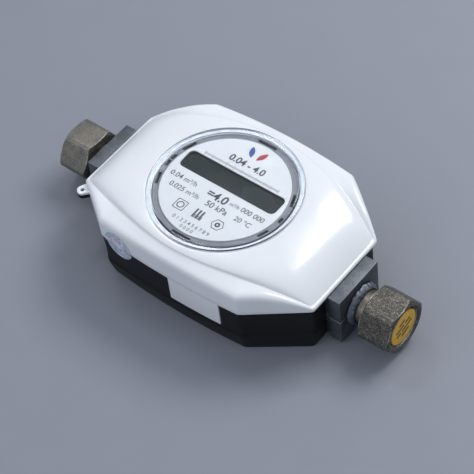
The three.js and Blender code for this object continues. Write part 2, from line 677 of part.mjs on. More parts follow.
function makeStraightener() {
  const { x: [start, end], passage, circle } = STRAIGHTENER;
  const radius = DUCT_RADIUS - GAP;
  let disc = turnedX([[0, start], [radius, start], [radius, end], [0, end]], -1);
  const centres = [[0, 0]];
  for (let i = 0; i < 6; i += 1) {
    centres.push([circle * Math.cos(i * Math.PI / 3), circle * Math.sin(i * Math.PI / 3)]);
  }
  for (const [y, z] of centres) {
    const hole = turnedX([[0, start - 4], [passage, start - 4], [passage, end + 8], [0, end + 8]], -1, SMALL);
    disc = disc.subtract(hole.translate([0, y, z]));
  }
  return disc;
}

addPart('flow_straightener', makeStraightener(), GREY_PLASTIC);

addPart('temperature_probe', turnedZ([
  [0, 27], [2.1, 28], [2.1, 36.3], [4.2, 36.3], [4.2, 38.4], [1.5, 38.4], [1.5, 40], [0, 40],
], SMALL), BRASS);

for (const { side, port } of PORTS) {
  const { radius, length } = SENSOR;
  const nose = radius - SENSOR_NOSE.step;
  addPart(`${port}_transducer`, tilted(turnedZ([
    [0, 0], [nose, 0], [nose, SENSOR_NOSE.length], [radius, SENSOR_NOSE.length],
    [radius, length], [SENSOR_PIN.radius, length],
    [SENSOR_PIN.radius, length + SENSOR_PIN.length], [0, length + SENSOR_PIN.length],
  ], INNER), side), SCREW_STEEL);
  const outer = radius + SENSOR_RING_PROUD;
  addPart(`${port}_transducer_o_ring`, tilted(
    ringZ(radius - SENSOR_O_RING.step, outer, ...SENSOR_O_RING.z, INNER), side), RUBBER);
  const seat = length + GAP;
  addPart(`${port}_transducer_retainer`, tilted(
    ringZ(radius - SENSOR_RETAINER.step, outer, seat, seat + SENSOR_RETAINER.thick, INNER), side), BRASS);
}

// ---------------------------------------------------------------- battery and leads

const BATTERY = { y: 34, z: 14.5, radius: 8.5, half: 25, capRadius: 3, cap: 1.2 };
const CRADLE = { x: 30, y: [23, 45], top: 11 };
const LEAD_RADIUS = { battery: 0.9, probe: 0.7, transducer: 0.8 };

function alongX(radius, half) {
  const geometry = new THREE.CylinderGeometry(radius, radius, 2 * half, INNER);
  geometry.rotateZ(Math.PI / 2);
  geometry.translate(0, BATTERY.y, BATTERY.z);
  return toSolid(geometry);
}

addPart('battery', alongX(BATTERY.radius, BATTERY.half)
  .add(alongX(BATTERY.capRadius, BATTERY.half + BATTERY.cap)), BATTERY_SLEEVE);
addPart('battery_cradle', box([-CRADLE.x, CRADLE.y[0], FLOOR + GAP], [CRADLE.x, CRADLE.y[1], CRADLE.top])
  .subtract(alongX(BATTERY.radius + GAP, BATTERY.half + 2)), GREY_PLASTIC);

addPart('battery_lead', pathTube([
  [27.2, 34, 14.5], [30, 36, 17], [30, 38, 26], [26, 37, 38], [16, 30, 43], [9, 25, 44.2], [4, 22, 44.9],
], LEAD_RADIUS.battery), LEAD);
addPart('probe_lead', pathTube([
  [0, 0, 41], [0, 3, 42.8], [0, 9, 43.6], [0, 15, 44.4], [0, 18, 45.1],
], LEAD_RADIUS.probe), LEAD);
for (const { side, port } of PORTS) {
  const end = SENSOR.length + 2.8;      // clear of the retainer
  const [x, z] = [SENSOR.x + end * Math.sin(SENSOR.tilt), AXIS_Z + CHAMBER.z + end * Math.cos(SENSOR.tilt)];
  addPart(`${port}_transducer_lead`, pathTube([
    [side * x, 0, z], [side * (x + 1.6), -1, z + 1.2], [side * 36, -8, 43.6],
    [side * 32, -17, 42.6], [side * 24, -23, 42.8], [side * 18, -27, 44.2],
  ], LEAD_RADIUS.transducer), LEAD);
}

// ---------------------------------------------------------------- union connections

function makeNut({ side, nutX, turn }) {
  const corner = NUT_ACROSS_FLATS / Math.sqrt(3);
  const inside = NUT_ACROSS_FLATS / 2;
  const [back, front] = [nutX, nutX + NUT_LENGTH];
  const face = inside - NUT_FACE_STEP;
  const chamfer = (corner - face) * NUT_CHAMFER_SLOPE;
  const hexagon = new THREE.CylinderGeometry(corner, corner, NUT_LENGTH, 6);
  hexagon.rotateZ(Math.PI / 2);
  hexagon.rotateX(THREE.MathUtils.degToRad(turn));
  hexagon.translate(side * (front + back) / 2, 0, AXIS_Z);
  const envelope = turnedX([
    [0, back], [face, back], [corner, back + chamfer],
    [corner, front - chamfer], [face, front], [0, front],
  ], side, SMOOTH);
  const bore = turnedX([
    [0, back - 1], [NUT_BACK, back - 1], [NUT_BACK, back + NUT_BACK_WALL],
    [NUT_BORE, back + NUT_BACK_WALL], [NUT_BORE, front - NUT_MOUTH_DEPTH], [NUT_MOUTH, front],
    [NUT_MOUTH, front + 1], [0, front + 1],
  ], side);
  return toSolid(hexagon).intersect(envelope).subtract(bore);
}

for (const end of PORTS) {
  const { side, port, nutX } = end;
  const start = PLATE_X[1] + GAP;
  const washer = nutX + NUT_BACK_WALL + GAP;
  const seal = COLLAR_X[1] + GAP;
  const plug = nutX + NUT_LENGTH - PLUG_SET_BACK;
  addPart(`${port}_nipple`, turnedX([
    [BORE_RADIUS, start], [NECK_RADIUS, start], [NECK_RADIUS, COLLAR_X[0]],
    [COLLAR_RADIUS, COLLAR_X[0]], [COLLAR_RADIUS, COLLAR_X[1]], [BORE_RADIUS, COLLAR_X[1]],
    [BORE_RADIUS, start],
  ], side), NUT_STEEL);
  addPart(`${port}_weld_bead`, turnedX([
    [NECK_RADIUS + GAP, start], [BEAD.radius, start], [BEAD.radius - 0.5, start + BEAD.toe],
    [NECK_RADIUS + BEAD.throat, BEAD.x], [NECK_RADIUS + GAP, BEAD.x], [NECK_RADIUS + GAP, start],
  ], side), WELD_STEEL);
  addPart(`${port}_slip_washer`, ringX(
    NECK_RADIUS + GAP, COLLAR_RADIUS, washer, washer + WASHER_THICK, side), BRASS);
  addPart(`${port}_sealing_gasket`, ringX(
    BORE_RADIUS, COLLAR_RADIUS, seal, seal + SEAL_THICK, side), FIBRE);
  addPart(`${port}_nut`, makeNut(end), NUT_STEEL);
  addPart(`${port}_transport_plug`, turnedX([
    [0, plug - PLUG_RIM.web], [PLUG_RADIUS - PLUG_RIM.step - 1, plug - PLUG_RIM.web],
    [PLUG_RADIUS - PLUG_RIM.step - PLUG_RIM.width, plug - PLUG_DEPTH],
    [PLUG_RADIUS - PLUG_RIM.step, plug - PLUG_DEPTH],
    [PLUG_RADIUS, plug - PLUG_RIM.width], [PLUG_RADIUS, plug], [0, plug],
  ], side), PLUG_YELLOW);
}

// ---------------------------------------------------------------- tamper seal

// a foil disc across the joint between cover and base
const SEAL = { x: -36.8, z: 36.2, radius: 10.2, thick: 0.35 };

function makeSeal() {
  const geometry = new THREE.CylinderGeometry(SEAL.radius, SEAL.radius, SEAL.thick, ROUND);
  geometry.rotateZ(2 * SIDE_BOW * SEAL.x / SIDE_X ** 2);
  geometry.translate(SEAL.x, -sideY(SEAL.x) - GAP - SEAL.thick / 2, SEAL.z);
  return toSolid(geometry);
}

addPart('tamper_seal', makeSeal(), FOIL);

export default group;
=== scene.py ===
"""Looks of a household ultrasonic gas meter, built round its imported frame."""
import math

import bmesh
import bpy
import numpy as np
from mathutils import Matrix, Vector


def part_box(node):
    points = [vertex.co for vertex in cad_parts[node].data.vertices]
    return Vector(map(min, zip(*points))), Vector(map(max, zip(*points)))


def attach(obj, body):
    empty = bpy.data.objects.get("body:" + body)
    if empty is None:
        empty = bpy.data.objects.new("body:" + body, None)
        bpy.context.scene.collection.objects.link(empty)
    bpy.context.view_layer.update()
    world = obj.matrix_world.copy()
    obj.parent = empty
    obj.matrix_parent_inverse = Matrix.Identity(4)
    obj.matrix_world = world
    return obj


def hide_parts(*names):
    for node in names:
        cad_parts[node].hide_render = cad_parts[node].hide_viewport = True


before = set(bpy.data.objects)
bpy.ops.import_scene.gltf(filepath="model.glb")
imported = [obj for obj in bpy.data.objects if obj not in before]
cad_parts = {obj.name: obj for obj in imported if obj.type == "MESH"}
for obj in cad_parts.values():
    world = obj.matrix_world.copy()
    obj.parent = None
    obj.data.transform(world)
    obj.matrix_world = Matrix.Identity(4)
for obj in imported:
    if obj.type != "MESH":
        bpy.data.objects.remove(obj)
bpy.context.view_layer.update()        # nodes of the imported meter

bl_info = {
    "name": "Gas Meter",
    "version": (1, 0, 0),
    "blender": (4, 5, 0),
    "location": "View3D > Sidebar > Gas Meter",
    "description": "Builds the visible pieces of a household gas meter round its frame",
    "category": "Object",
}

MM = 0.001
HOUSING = "meter"


def frame_box(node):
    """Lowest and highest corner of a frame node, in millimetres."""
    low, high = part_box(node)
    return low / MM, high / MM


COVER_LOW, COVER_HIGH = frame_box("top_cover")
LENS_LOW, LENS_HIGH = frame_box("window_lens")
DIAL_LOW, DIAL_HIGH = frame_box("dial_plate")
NIPPLE_LOW, NIPPLE_HIGH = frame_box("outlet_nipple")
AXIS_Z = (NIPPLE_LOW.z + NIPPLE_HIGH.z) / 2


# ---------------------------------------------------------------- settings

def length(name, about, millimetres):
    """A size in metres that a user may change."""
    return bpy.props.FloatProperty(
        name=name, description=about, default=millimetres * MM, min=0.0, precision=5, unit="LENGTH")


def colour(name, about, red, green, blue):
    """A linear colour that a user may change."""
    return bpy.props.FloatVectorProperty(
        name=name, description=about, default=(red, green, blue), min=0.0, max=1.0, size=3, subtype="COLOR")


def share(name, about, value):
    """A number from 0 to 1 that a user may change."""
    return bpy.props.FloatProperty(
        name=name, description=about, default=value, min=0.0, max=1.0, subtype="FACTOR")


def count(name, about, value):
    """A whole number that a user may change."""
    return bpy.props.IntProperty(name=name, description=about, default=value, min=1)


class CoverSettings(bpy.types.PropertyGroup):
    """Sizes and finish of the white cover"""
    wall: length("Wall", "Thickness of the moulded wall", 2.2)
    lip: length("Lip", "Rounding of the cover's lower edge", 0.35)
    corner_rounding: count("Corner rounding", "Passes that round the upright corners off", 10)
    groove_rounding: count("Groove rounding", "Passes that round the groove beside the band off", 4)
    tint: colour("Colour", "Colour of the white plastic", 0.68, 0.71, 0.755)
    roughness: share("Roughness", "How matt the white plastic is", 0.2)


class BaseSettings(bpy.types.PropertyGroup):
    """Sizes and finish of the black base"""
    wall_inset: length("Wall inset", "How far the wall stands inside the cover's outline", 1.1)
    ledge_inset: length("Ledge inset", "How far the ledge stands inside the cover's outline", 0.5)
    foot_inset: length("Foot inset", "How far the foot stands inside the cover's outline", 3.7)
    ledge_height: length("Ledge height", "Height of the ledge over the foot", 13.5)
    tint: colour("Colour", "Colour of the black plastic", 0.004, 0.0045, 0.006)
    roughness: share("Roughness", "How matt the black plastic is", 0.42)


class RegisterSettings(bpy.types.PropertyGroup):
    """Sizes and finish of the window, its ring, the dial and the display"""
    rim: length("Rim", "Width of the raised rim of the window", 3.2)
    rim_height: length("Rim height", "How far the rim stands over the clear middle", 0.3)
    glass_tint: colour("Window colour", "Tint of the clear window", 0.93, 0.95, 0.97)
    ring_tint: colour("Ring colour", "Colour of the ring round the dial", 0.13, 0.14, 0.165)
    dial_tint: colour("Dial colour", "Colour of the printed sheet", 0.475, 0.49, 0.512)
    ink: colour("Ink", "Colour of the print", 0.012, 0.013, 0.018)
    display_tint: colour("Display colour", "Colour of the unpowered display", 0.006, 0.0105, 0.0105)


class UnionSettings(bpy.types.PropertyGroup):
    """Sizes and finish of the union nuts, their pipes and welds"""
    across_flats: length("Across flats", "Width of the nut over two flats", 32.0)
    nut_length: length("Nut length", "Length of the nut", 20.6)
    worn_corner: length("Worn corner", "How much of each corner is worn off", 0.55)
    pitch: length("Pitch", "Pitch of the nut's G 3/4 thread", 1.814)
    thread_depth: length("Thread depth", "Depth of the nut's thread", 1.16)
    ripples: count("Weld ripples", "Ripples round one weld bead", 34)
    nut_tint: colour("Nut colour", "Colour of the nickel plated nuts", 0.135, 0.122, 0.105)
    steel_tint: colour("Steel colour", "Colour of the flow body", 0.15, 0.165, 0.19)
    plug_tint: colour("Plug colour", "Colour of the transport plugs", 0.68, 0.40, 0.035)


class StageSettings(bpy.types.PropertyGroup):
    """Floor, lights and camera"""
    floor_tint: colour("Floor colour", "Colour of the floor", 0.203, 0.219, 0.266)
    key_power: bpy.props.FloatProperty(
        name="Key light", description="Power of the large soft light", default=10.0, min=0.0, unit="POWER")
    fill_power: bpy.props.FloatProperty(
        name="Fill light", description="Power of the fill light", default=3.2, min=0.0, unit="POWER")
    sky: bpy.props.FloatProperty(
        name="Sky", description="Strength of the even light all round", default=0.6, min=0.0)
    azimuth: bpy.props.FloatProperty(
        name="Azimuth", description="Turn of the camera round the meter",
        default=math.radians(44.63), subtype="ANGLE")
    elevation: bpy.props.FloatProperty(
        name="Elevation", description="Height of the camera as an angle",
        default=math.radians(50.62), subtype="ANGLE")
    roll: bpy.props.FloatProperty(
        name="Roll", description="Turn of the camera about its line of sight",
        default=math.radians(-7.98), subtype="ANGLE")
    lens: bpy.props.FloatProperty(
        name="Lens", description="Focal length of the camera in millimetres", default=141.85, min=1.0)


class MeterSettings(bpy.types.PropertyGroup):
    """All settings of the gas meter"""
    cover: bpy.props.PointerProperty(type=CoverSettings, name="Cover", description="The white cover")
    base: bpy.props.PointerProperty(type=BaseSettings, name="Base", description="The black base")
    register: bpy.props.PointerProperty(type=RegisterSettings, name="Register", description="Window and dial")
    union: bpy.props.PointerProperty(type=UnionSettings, name="Unions", description="Nuts, pipes and welds")
    stage: bpy.props.PointerProperty(type=StageSettings, name="Stage", description="Floor, light and camera")


# ---------------------------------------------------------------- node trees

class Graph:
    """Adds nodes to one tree and links them."""

    def __init__(self, tree):
        self.tree = tree

    def node(self, kind, inputs=None, **settings):
        """A new node. Its inputs take numbers, colours or the outputs of other nodes."""
        made = self.tree.nodes.new(kind)
        for name, value in settings.items():
            setattr(made, name, value)
        for name, value in (inputs or {}).items():
            self.feed(made.inputs[name], value)
        return made

    def feed(self, socket, value):
        """Gives a socket a plain value, or a link."""
        if isinstance(value, Value):
            value = value.socket
        if isinstance(value, bpy.types.NodeSocket):
            self.tree.links.new(value, socket)
        else:
            socket.default_value = value

    def value(self, socket):
        """A node's output as a number to reckon with."""
        return Value(self, socket)


class Value:
    """A number in a node tree, so that sums on it read as plain arithmetic."""

    def __init__(self, graph, socket):
        self.graph = graph
        self.socket = socket

    def do(self, operation, *others, clamp=False):
        """The result of a Math node."""
        inputs = {i: v for i, v in enumerate((self, *others))}
        node = self.graph.node("ShaderNodeMath", inputs, operation=operation, use_clamp=clamp)
        return Value(self.graph, node.outputs[0])

    def swapped(self, operation, other):
        """The same with the two sides of the sum exchanged."""
        node = self.graph.node("ShaderNodeMath", {0: other, 1: self}, operation=operation)
        return Value(self.graph, node.outputs[0])

    def __add__(self, other):
        return self.do("ADD", other)

    def __sub__(self, other):
        return self.do("SUBTRACT", other)

    def __mul__(self, other):
        return self.do("MULTIPLY", other)

    def __truediv__(self, other):
        return self.do("DIVIDE", other)

    def __rsub__(self, other):
        return self.swapped("SUBTRACT", other)

    def __rtruediv__(self, other):
        return self.swapped("DIVIDE", other)

    __radd__ = __add__
    __rmul__ = __mul__


SOCKETS = {
    "value": "NodeSocketFloat", "whole": "NodeSocketInt", "colour": "NodeSocketColor",
    "vector": "NodeSocketVector", "material": "NodeSocketMaterial", "shape": "NodeSocketGeometry",
}


def new_tree(name, kind, inputs, outputs):
    """A node group with named sockets, and the graph, its inputs and its output node."""
    tree = bpy.data.node_groups.new(name, kind)
    for label, sort, default in inputs:
        socket = tree.interface.new_socket(label, in_out="INPUT", socket_type=SOCKETS[sort])
        if default is not None:
            socket.default_value = default
    for label, sort in outputs:
        tree.interface.new_socket(label, in_out="OUTPUT", socket_type=SOCKETS[sort])
    graph = Graph(tree)
    given = graph.node("NodeGroupInput").outputs
    return graph, given, graph.node("NodeGroupOutput").inputs


# ---------------------------------------------------------------- shared shader effects

def noise(graph, place, scale, detail=3.0, roughness=0.5, stretch=None, distortion=0.0):
    """A noise texture on object coordinates, drawn out along one axis by stretch."""
    if stretch:
        place = graph.node("ShaderNodeMapping", {"Vector": place, "Scale": stretch}).outputs[0]
    return graph.value(graph.node("ShaderNodeTexNoise", {
        "Vector": place, "Scale": scale, "Detail": detail, "Roughness": roughness,
        "Distortion": distortion}).outputs[0])


def ranged(graph, value, low, high, to_low=0.0, to_high=1.0):
    """A value moved from one range to another and kept inside it."""
    return graph.value(graph.node("ShaderNodeMapRange", {
        "Value": value, "From Min": low, "From Max": high, "To Min": to_low, "To Max": to_high}).outputs[0])


def effect(name, inputs, outputs, build):
    """A shared shader effect: built the first time that a material asks for it."""
    if name not in bpy.data.node_groups:
        build(*new_tree(name, "ShaderNodeTree", inputs, outputs))
    return bpy.data.node_groups[name]


def build_edge_wear(graph, given, out):
    rounded = graph.node("ShaderNodeBevel", {"Radius": given["Radius"]}, samples=6)
    true = graph.node("ShaderNodeNewGeometry")
    along = graph.node("ShaderNodeVectorMath", {0: rounded.outputs[0], 1: true.outputs["Normal"]},
                       operation="DOT_PRODUCT")
    bend = ranged(graph, along.outputs["Value"], 0.995, 0.9)
    place = graph.node("ShaderNodeTexCoord").outputs["Object"]
    broken = ranged(graph, noise(graph, place, given["Scale"], 4.0, 0.65), 0.36, 0.62)
    graph.feed(out["Mask"], (bend * given["Amount"]).do("MULTIPLY", broken, clamp=True))


def edge_wear(graph, radius, amount, scale=500.0):
    """Mask of worn edges."""
    group = effect("Edge wear", [("Radius", "value", 0.0004), ("Amount", "value", 1.0),
                                 ("Scale", "value", 500.0)],
                   [("Mask", "value")], build_edge_wear)
    return placed(graph, group, {"Radius": radius, "Amount": amount, "Scale": scale})["Mask"]


def placed(graph, group, inputs):
    """Places a shared effect in a material and returns its outputs as values."""
    node = graph.tree.nodes.new("ShaderNodeGroup")
    node.node_tree = group
    for name, value in inputs.items():
        graph.feed(node.inputs[name], value)
    return {socket.name: graph.value(socket) for socket in node.outputs}


def build_grain(graph, given, out):
    place = graph.node("ShaderNodeTexCoord").outputs["Object"]
    fine = noise(graph, place, given["Scale"], 2.0, 0.6)
    coarse = noise(graph, place, graph.value(given["Scale"]) * 0.14, 2.0, 0.5)
    graph.feed(out["Height"], fine * 0.7 + coarse * 0.3)
    graph.feed(out["Mottle"], ranged(graph, coarse, 0.35, 0.65))


def grain(graph, scale):
    """Fine moulded or blasted texture: its height and a soft mottle."""
    group = effect("Grain", [("Scale", "value", 1000.0)], [("Height", "value"), ("Mottle", "value")],
                   build_grain)
    return placed(graph, group, {"Scale": scale})


def build_handling(graph, given, out):
    place = graph.node("ShaderNodeTexCoord").outputs["Object"]
    smudge = noise(graph, place, given["Smudge scale"], 4.0, 0.6, distortion=0.6)
    graph.feed(out["Smudge"], ranged(graph, smudge, 0.42, 0.7))
    lines = []
    for turn in (0.4, 1.3, 2.2):
        turned = graph.node("ShaderNodeMapping", {"Vector": place,
                                                  "Rotation": (turn, turn * 0.7, turn)}).outputs[0]
        line = noise(graph, turned, given["Scratch scale"], 1.0, 0.5, stretch=(1.0, 14.0, 14.0))
        lines.append(ranged(graph, line, 0.69, 0.75))
    graph.feed(out["Scratch"], lines[0].do("MAXIMUM", lines[1].do("MAXIMUM", lines[2])))


def handling(graph, smudge_scale, scratch_scale):
    """Marks of use: soft smudges and fine scratches."""
    group = effect("Handling marks", [("Smudge scale", "value", 60.0), ("Scratch scale", "value", 90.0)],
                   [("Smudge", "value"), ("Scratch", "value")], build_handling)
    return placed(graph, group, {"Smudge scale": smudge_scale, "Scratch scale": scratch_scale})


# ---------------------------------------------------------------- materials

def rgba(tint, factor=1.0):
    """A settings colour as a socket's colour."""
    return (*(min(1.0, c * factor) for c in tint), 1.0)


def blended(graph, mask, first, second):
    """first where the mask is 0, second where it is 1."""
    return graph.node("ShaderNodeMix", {"Factor": mask, 6: first, 7: second}, data_type="RGBA").outputs[2]


def bumped(graph, height, distance, strength=1.0):
    """A normal from a height between 0 and 1."""
    return graph.node("ShaderNodeBump", {"Height": height, "Distance": distance,
                                         "Strength": strength}).outputs[0]


FINISHES = {}                        # materials made so far, by name


def material(name, build):
    """A procedural material: build gets the graph and its Principled shader."""
    if name in FINISHES:
        return FINISHES[name]
    made = FINISHES[name] = bpy.data.materials.new(name)
    made.use_nodes = True
    graph = Graph(made.node_tree)
    shader = made.node_tree.nodes["Principled BSDF"]
    build(graph, shader.inputs)
    return made


def white_plastic():
    """Glossy white moulded plastic."""
    cover = bpy.context.scene.gas_meter.cover

    def build(graph, shader):
        skin = grain(graph, 420.0)
        marks = handling(graph, 28.0, 60.0)
        tone = blended(graph, skin["Mottle"], rgba(cover.tint), rgba(cover.tint, 0.975))
        graph.feed(shader["Base Color"], tone)
        graph.feed(shader["Roughness"], marks["Smudge"] * 0.05 + cover.roughness)
        graph.feed(shader["Normal"], bumped(graph, skin["Height"], 0.00001, 0.35))
        shader["IOR"].default_value = 1.5
        shader["Coat Weight"].default_value = 0.25
        shader["Coat Roughness"].default_value = 0.06
    return material("white_plastic", build)


def black_plastic():
    """Satin black moulded plastic with a fine spark-eroded texture."""
    base = bpy.context.scene.gas_meter.base

    def build(graph, shader):
        skin = grain(graph, 2200.0)
        marks = handling(graph, 40.0, 80.0)
        worn = edge_wear(graph, 0.0005, 0.5, 300.0)
        tone = blended(graph, skin["Mottle"], rgba(base.tint), rgba(base.tint, 1.5))
        graph.feed(shader["Base Color"], blended(graph, worn, tone, rgba(base.tint, 4.0)))
        graph.feed(shader["Roughness"], skin["Mottle"] * 0.06 + marks["Smudge"] * 0.08 + base.roughness)
        graph.feed(shader["Normal"], bumped(graph, skin["Height"], 0.00004, 0.6))
        shader["Specular IOR Level"].default_value = 0.22
    return material("black_plastic", build)


def clear_plastic():
    """Clear window that lets the lamps' light through to the dial."""
    register = bpy.context.scene.gas_meter.register

    def build(graph, shader):
        marks = handling(graph, 30.0, 60.0)
        shader["Base Color"].default_value = rgba(register.glass_tint)
        shader["Transmission Weight"].default_value = 1.0
        shader["IOR"].default_value = 1.38
        graph.feed(shader["Roughness"], marks["Smudge"] * 0.02 + 0.02)
        path = graph.node("ShaderNodeLightPath")
        clear = graph.node("ShaderNodeBsdfTransparent", {"Color": rgba(register.glass_tint)})
        glass = graph.tree.nodes["Principled BSDF"].outputs[0]
        mixed = graph.node("ShaderNodeMixShader", {
            "Fac": path.outputs["Is Shadow Ray"], 1: glass, 2: clear.outputs[0]})
        graph.feed(graph.tree.nodes["Material Output"].inputs["Surface"], mixed.outputs[0])
    return material("clear_plastic", build)


def plain_plastic(name, tint, roughness, scale, depth):
    """Moulded plastic of one colour with its grain."""
    def build(graph, shader):
        skin = grain(graph, scale)
        worn = edge_wear(graph, 0.0003, 0.6)
        tone = blended(graph, skin["Mottle"], rgba(tint), rgba(tint, 0.86))
        graph.feed(shader["Base Color"], blended(graph, worn, tone, rgba(tint, 1.35)))
        graph.feed(shader["Roughness"], skin["Mottle"] * 0.1 + roughness)
        graph.feed(shader["Normal"], bumped(graph, skin["Height"], depth, 0.5))
    return material(name, build)


def printed_sheet():
    """Printed dial sheet with a very fine tooth."""
    tint = bpy.context.scene.gas_meter.register.dial_tint

    def build(graph, shader):
        skin = grain(graph, 3200.0)
        graph.feed(shader["Base Color"], blended(graph, skin["Mottle"], rgba(tint), rgba(tint, 0.97)))
        graph.feed(shader["Roughness"], skin["Height"] * 0.1 + 0.5)
        graph.feed(shader["Normal"], bumped(graph, skin["Height"], 0.00002, 0.3))
    return material("printed_sheet", build)


def ink(name, tint):
    """Print on the dial and the plugs, slightly uneven where it covers."""
    def build(graph, shader):
        skin = grain(graph, 2600.0)
        graph.feed(shader["Base Color"], blended(graph, skin["Mottle"], rgba(tint), rgba(tint, 1.7)))
        graph.feed(shader["Roughness"], skin["Height"] * 0.2 + 0.4)
    return material(name, build)


def display_glass():
    """Unpowered liquid crystal display behind its polariser."""
    tint = bpy.context.scene.gas_meter.register.display_tint

    def build(graph, shader):
        place = graph.node("ShaderNodeTexCoord").outputs["Object"]
        cloud = ranged(graph, noise(graph, place, 45.0, 2.0), 0.3, 0.7)
        graph.feed(shader["Base Color"], blended(graph, cloud, rgba(tint), rgba(tint, 1.25)))
        graph.feed(shader["Roughness"], cloud * 0.06 + 0.24)
        shader["Specular IOR Level"].default_value = 0.25
    return material("display_glass", build)


def metal(name, tint, other, roughness, scale, stretch=None, wear=0.8, speckle=0.5, bump=0.00003,
          metallic=0.9):
    """Worked metal: grain or brushing, speckles, scratches and bright worn edges."""
    def build(graph, shader):
        place = graph.node("ShaderNodeTexCoord").outputs["Object"]
        texture = noise(graph, place, scale, 3.0, 0.6, stretch=stretch)
        cloud = ranged(graph, noise(graph, place, scale * 0.06, 4.0, 0.62, distortion=0.4), 0.36, 0.66)
        marks = handling(graph, scale * 0.09, scale * 0.2)
        spots = ranged(graph, noise(graph, place, scale * 0.55, 2.0, 0.7), 0.56, 0.68)
        worn = edge_wear(graph, 0.00055, wear, 260.0)
        tone = blended(graph, cloud, rgba(tint), rgba(other))
        tone = blended(graph, spots * speckle, tone, rgba(tint, 0.35))
        tone = blended(graph, (marks["Scratch"] * 0.5).do("MAXIMUM", worn), tone, rgba(tint, 2.4))
        graph.feed(shader["Base Color"], tone)
        shader["Metallic"].default_value = metallic
        rough = ranged(graph, texture, 0.3, 0.7, roughness - 0.09, roughness + 0.11) + spots * 0.1
        graph.feed(shader["Roughness"], rough - worn * 0.12)
        height = texture * 0.6 + cloud * 0.2 - marks["Scratch"] * 0.3
        graph.feed(shader["Normal"], bumped(graph, height, bump, 0.8))
    return material(name, build)


def body_steel():
    """Blasted flow body."""
    tint = bpy.context.scene.gas_meter.union.steel_tint
    return metal("blasted_steel", tint, [c * 0.6 for c in tint], 0.5, 1100.0, speckle=0.5, wear=1.0,
                 bump=0.00006)


def nut_steel(port):
    """Nickel plated nut, tarnished, flecked and pitted; its bright edges are partly worn plating, partly a
    painted highlight along the chamfers; the outlet's is rougher.
    """
    tint = bpy.context.scene.gas_meter.union.nut_tint
    rough = 1.0 if port == "outlet" else 0.35
    lift = 0.72 if port == "outlet" else 1.5

    def build(graph, shader):
        place = graph.node("ShaderNodeTexCoord").outputs["Object"]
        patch = ranged(graph, noise(graph, place, 75.0, 5.0, 0.6, distortion=0.8), 0.4, 0.62)
        fleck = ranged(graph, noise(graph, place, 900.0, 4.0, 0.75, stretch=(0.5, 1.0, 1.0)), 0.48, 0.68)
        pit = ranged(graph, noise(graph, place, 1000.0, 3.0, 0.7, distortion=0.5), 0.53, 0.66)
        marks = handling(graph, 90.0, 210.0)
        # this edge mask also places a painted highlight along the nut's chamfer edges
        worn = edge_wear(graph, 0.001, 1.0, 150.0)
        cool = (tint[0] * 0.66 * lift, tint[1] * 0.76 * lift, tint[2] * 0.82 * lift)
        tone = blended(graph, patch, rgba(tint, lift), rgba(cool))
        tone = blended(graph, fleck * (0.6 * rough), tone, rgba(tint, 2.3))
        tone = blended(graph, pit * (0.85 * rough), tone, rgba((0.03, 0.026, 0.02)))
        # bright edge colour: partly worn plating, partly a painted highlight on the chamfer edges
        tone = blended(graph, (marks["Scratch"] * 0.7).do("MAXIMUM", worn), tone, rgba((0.78, 0.76, 0.72)))
        graph.feed(shader["Base Color"], tone)
        shader["Metallic"].default_value = 0.85
        graph.feed(shader["Roughness"], pit * 0.2 - fleck * 0.08 - worn * 0.18 + patch * 0.1 + 0.4)
        height = fleck * 0.4 - pit * 0.8 - marks["Scratch"] * 0.4
        graph.feed(shader["Normal"], bumped(graph, height, 0.00009 * rough, 0.8))
    return material(f"{port}_plated_steel", build)


def weld_steel():
    """Heat tinted weld metal."""
    return metal("weld_metal", (0.17, 0.2, 0.25), (0.07, 0.072, 0.08), 0.42, 1300.0, wear=0.5, bump=0.00008)


def pipe_steel():
    """Turned pipe with fine rings round its axis."""
    return metal("turned_steel", (0.24, 0.22, 0.19), (0.1, 0.095, 0.085), 0.4, 900.0,
                 stretch=(6.0, 0.4, 0.4), speckle=0.2)


def brass():
    """Dull brass."""
    return metal("dull_brass", (0.42, 0.3, 0.13), (0.2, 0.14, 0.07), 0.42, 1000.0, stretch=(3.0, 0.5, 0.5),
                 speckle=0.3)


def screw_steel():
    """Zinc plated fasteners."""
    return metal("zinc_plate", (0.55, 0.56, 0.58), (0.42, 0.43, 0.46), 0.32, 1400.0, speckle=0.15)


def soft(name, tint, roughness, scale, depth):
    """Rubber, fibre or cable insulation."""
    def build(graph, shader):
        skin = grain(graph, scale)
        graph.feed(shader["Base Color"], blended(graph, skin["Mottle"], rgba(tint), rgba(tint, 1.2)))
        graph.feed(shader["Roughness"], skin["Height"] * 0.12 + roughness)
        graph.feed(shader["Normal"], bumped(graph, skin["Height"], depth, 0.7))
    return material(name, build)


def black_rubber():
    """Black sealing rubber."""
    return soft("black_rubber", (0.018, 0.018, 0.02), 0.6, 1500.0, 0.00002)


def circuit_board():
    """Green solder mask with its copper tracks under it."""
    def build(graph, shader):
        place = graph.node("ShaderNodeTexCoord").outputs["Object"]
        tracks = graph.node("ShaderNodeTexBrick", {
            "Vector": place, "Scale": 90.0, "Mortar Size": 0.06, "Color1": (0.01, 0.14, 0.06, 1.0),
            "Color2": (0.012, 0.17, 0.075, 1.0), "Mortar": (0.03, 0.26, 0.13, 1.0)})
        skin = grain(graph, 1800.0)
        graph.feed(shader["Base Color"], tracks.outputs["Color"])
        graph.feed(shader["Roughness"], skin["Mottle"] * 0.1 + 0.28)
        graph.feed(shader["Normal"], bumped(graph, tracks.outputs["Fac"], 0.00003, 0.4))
    return material("solder_mask", build)


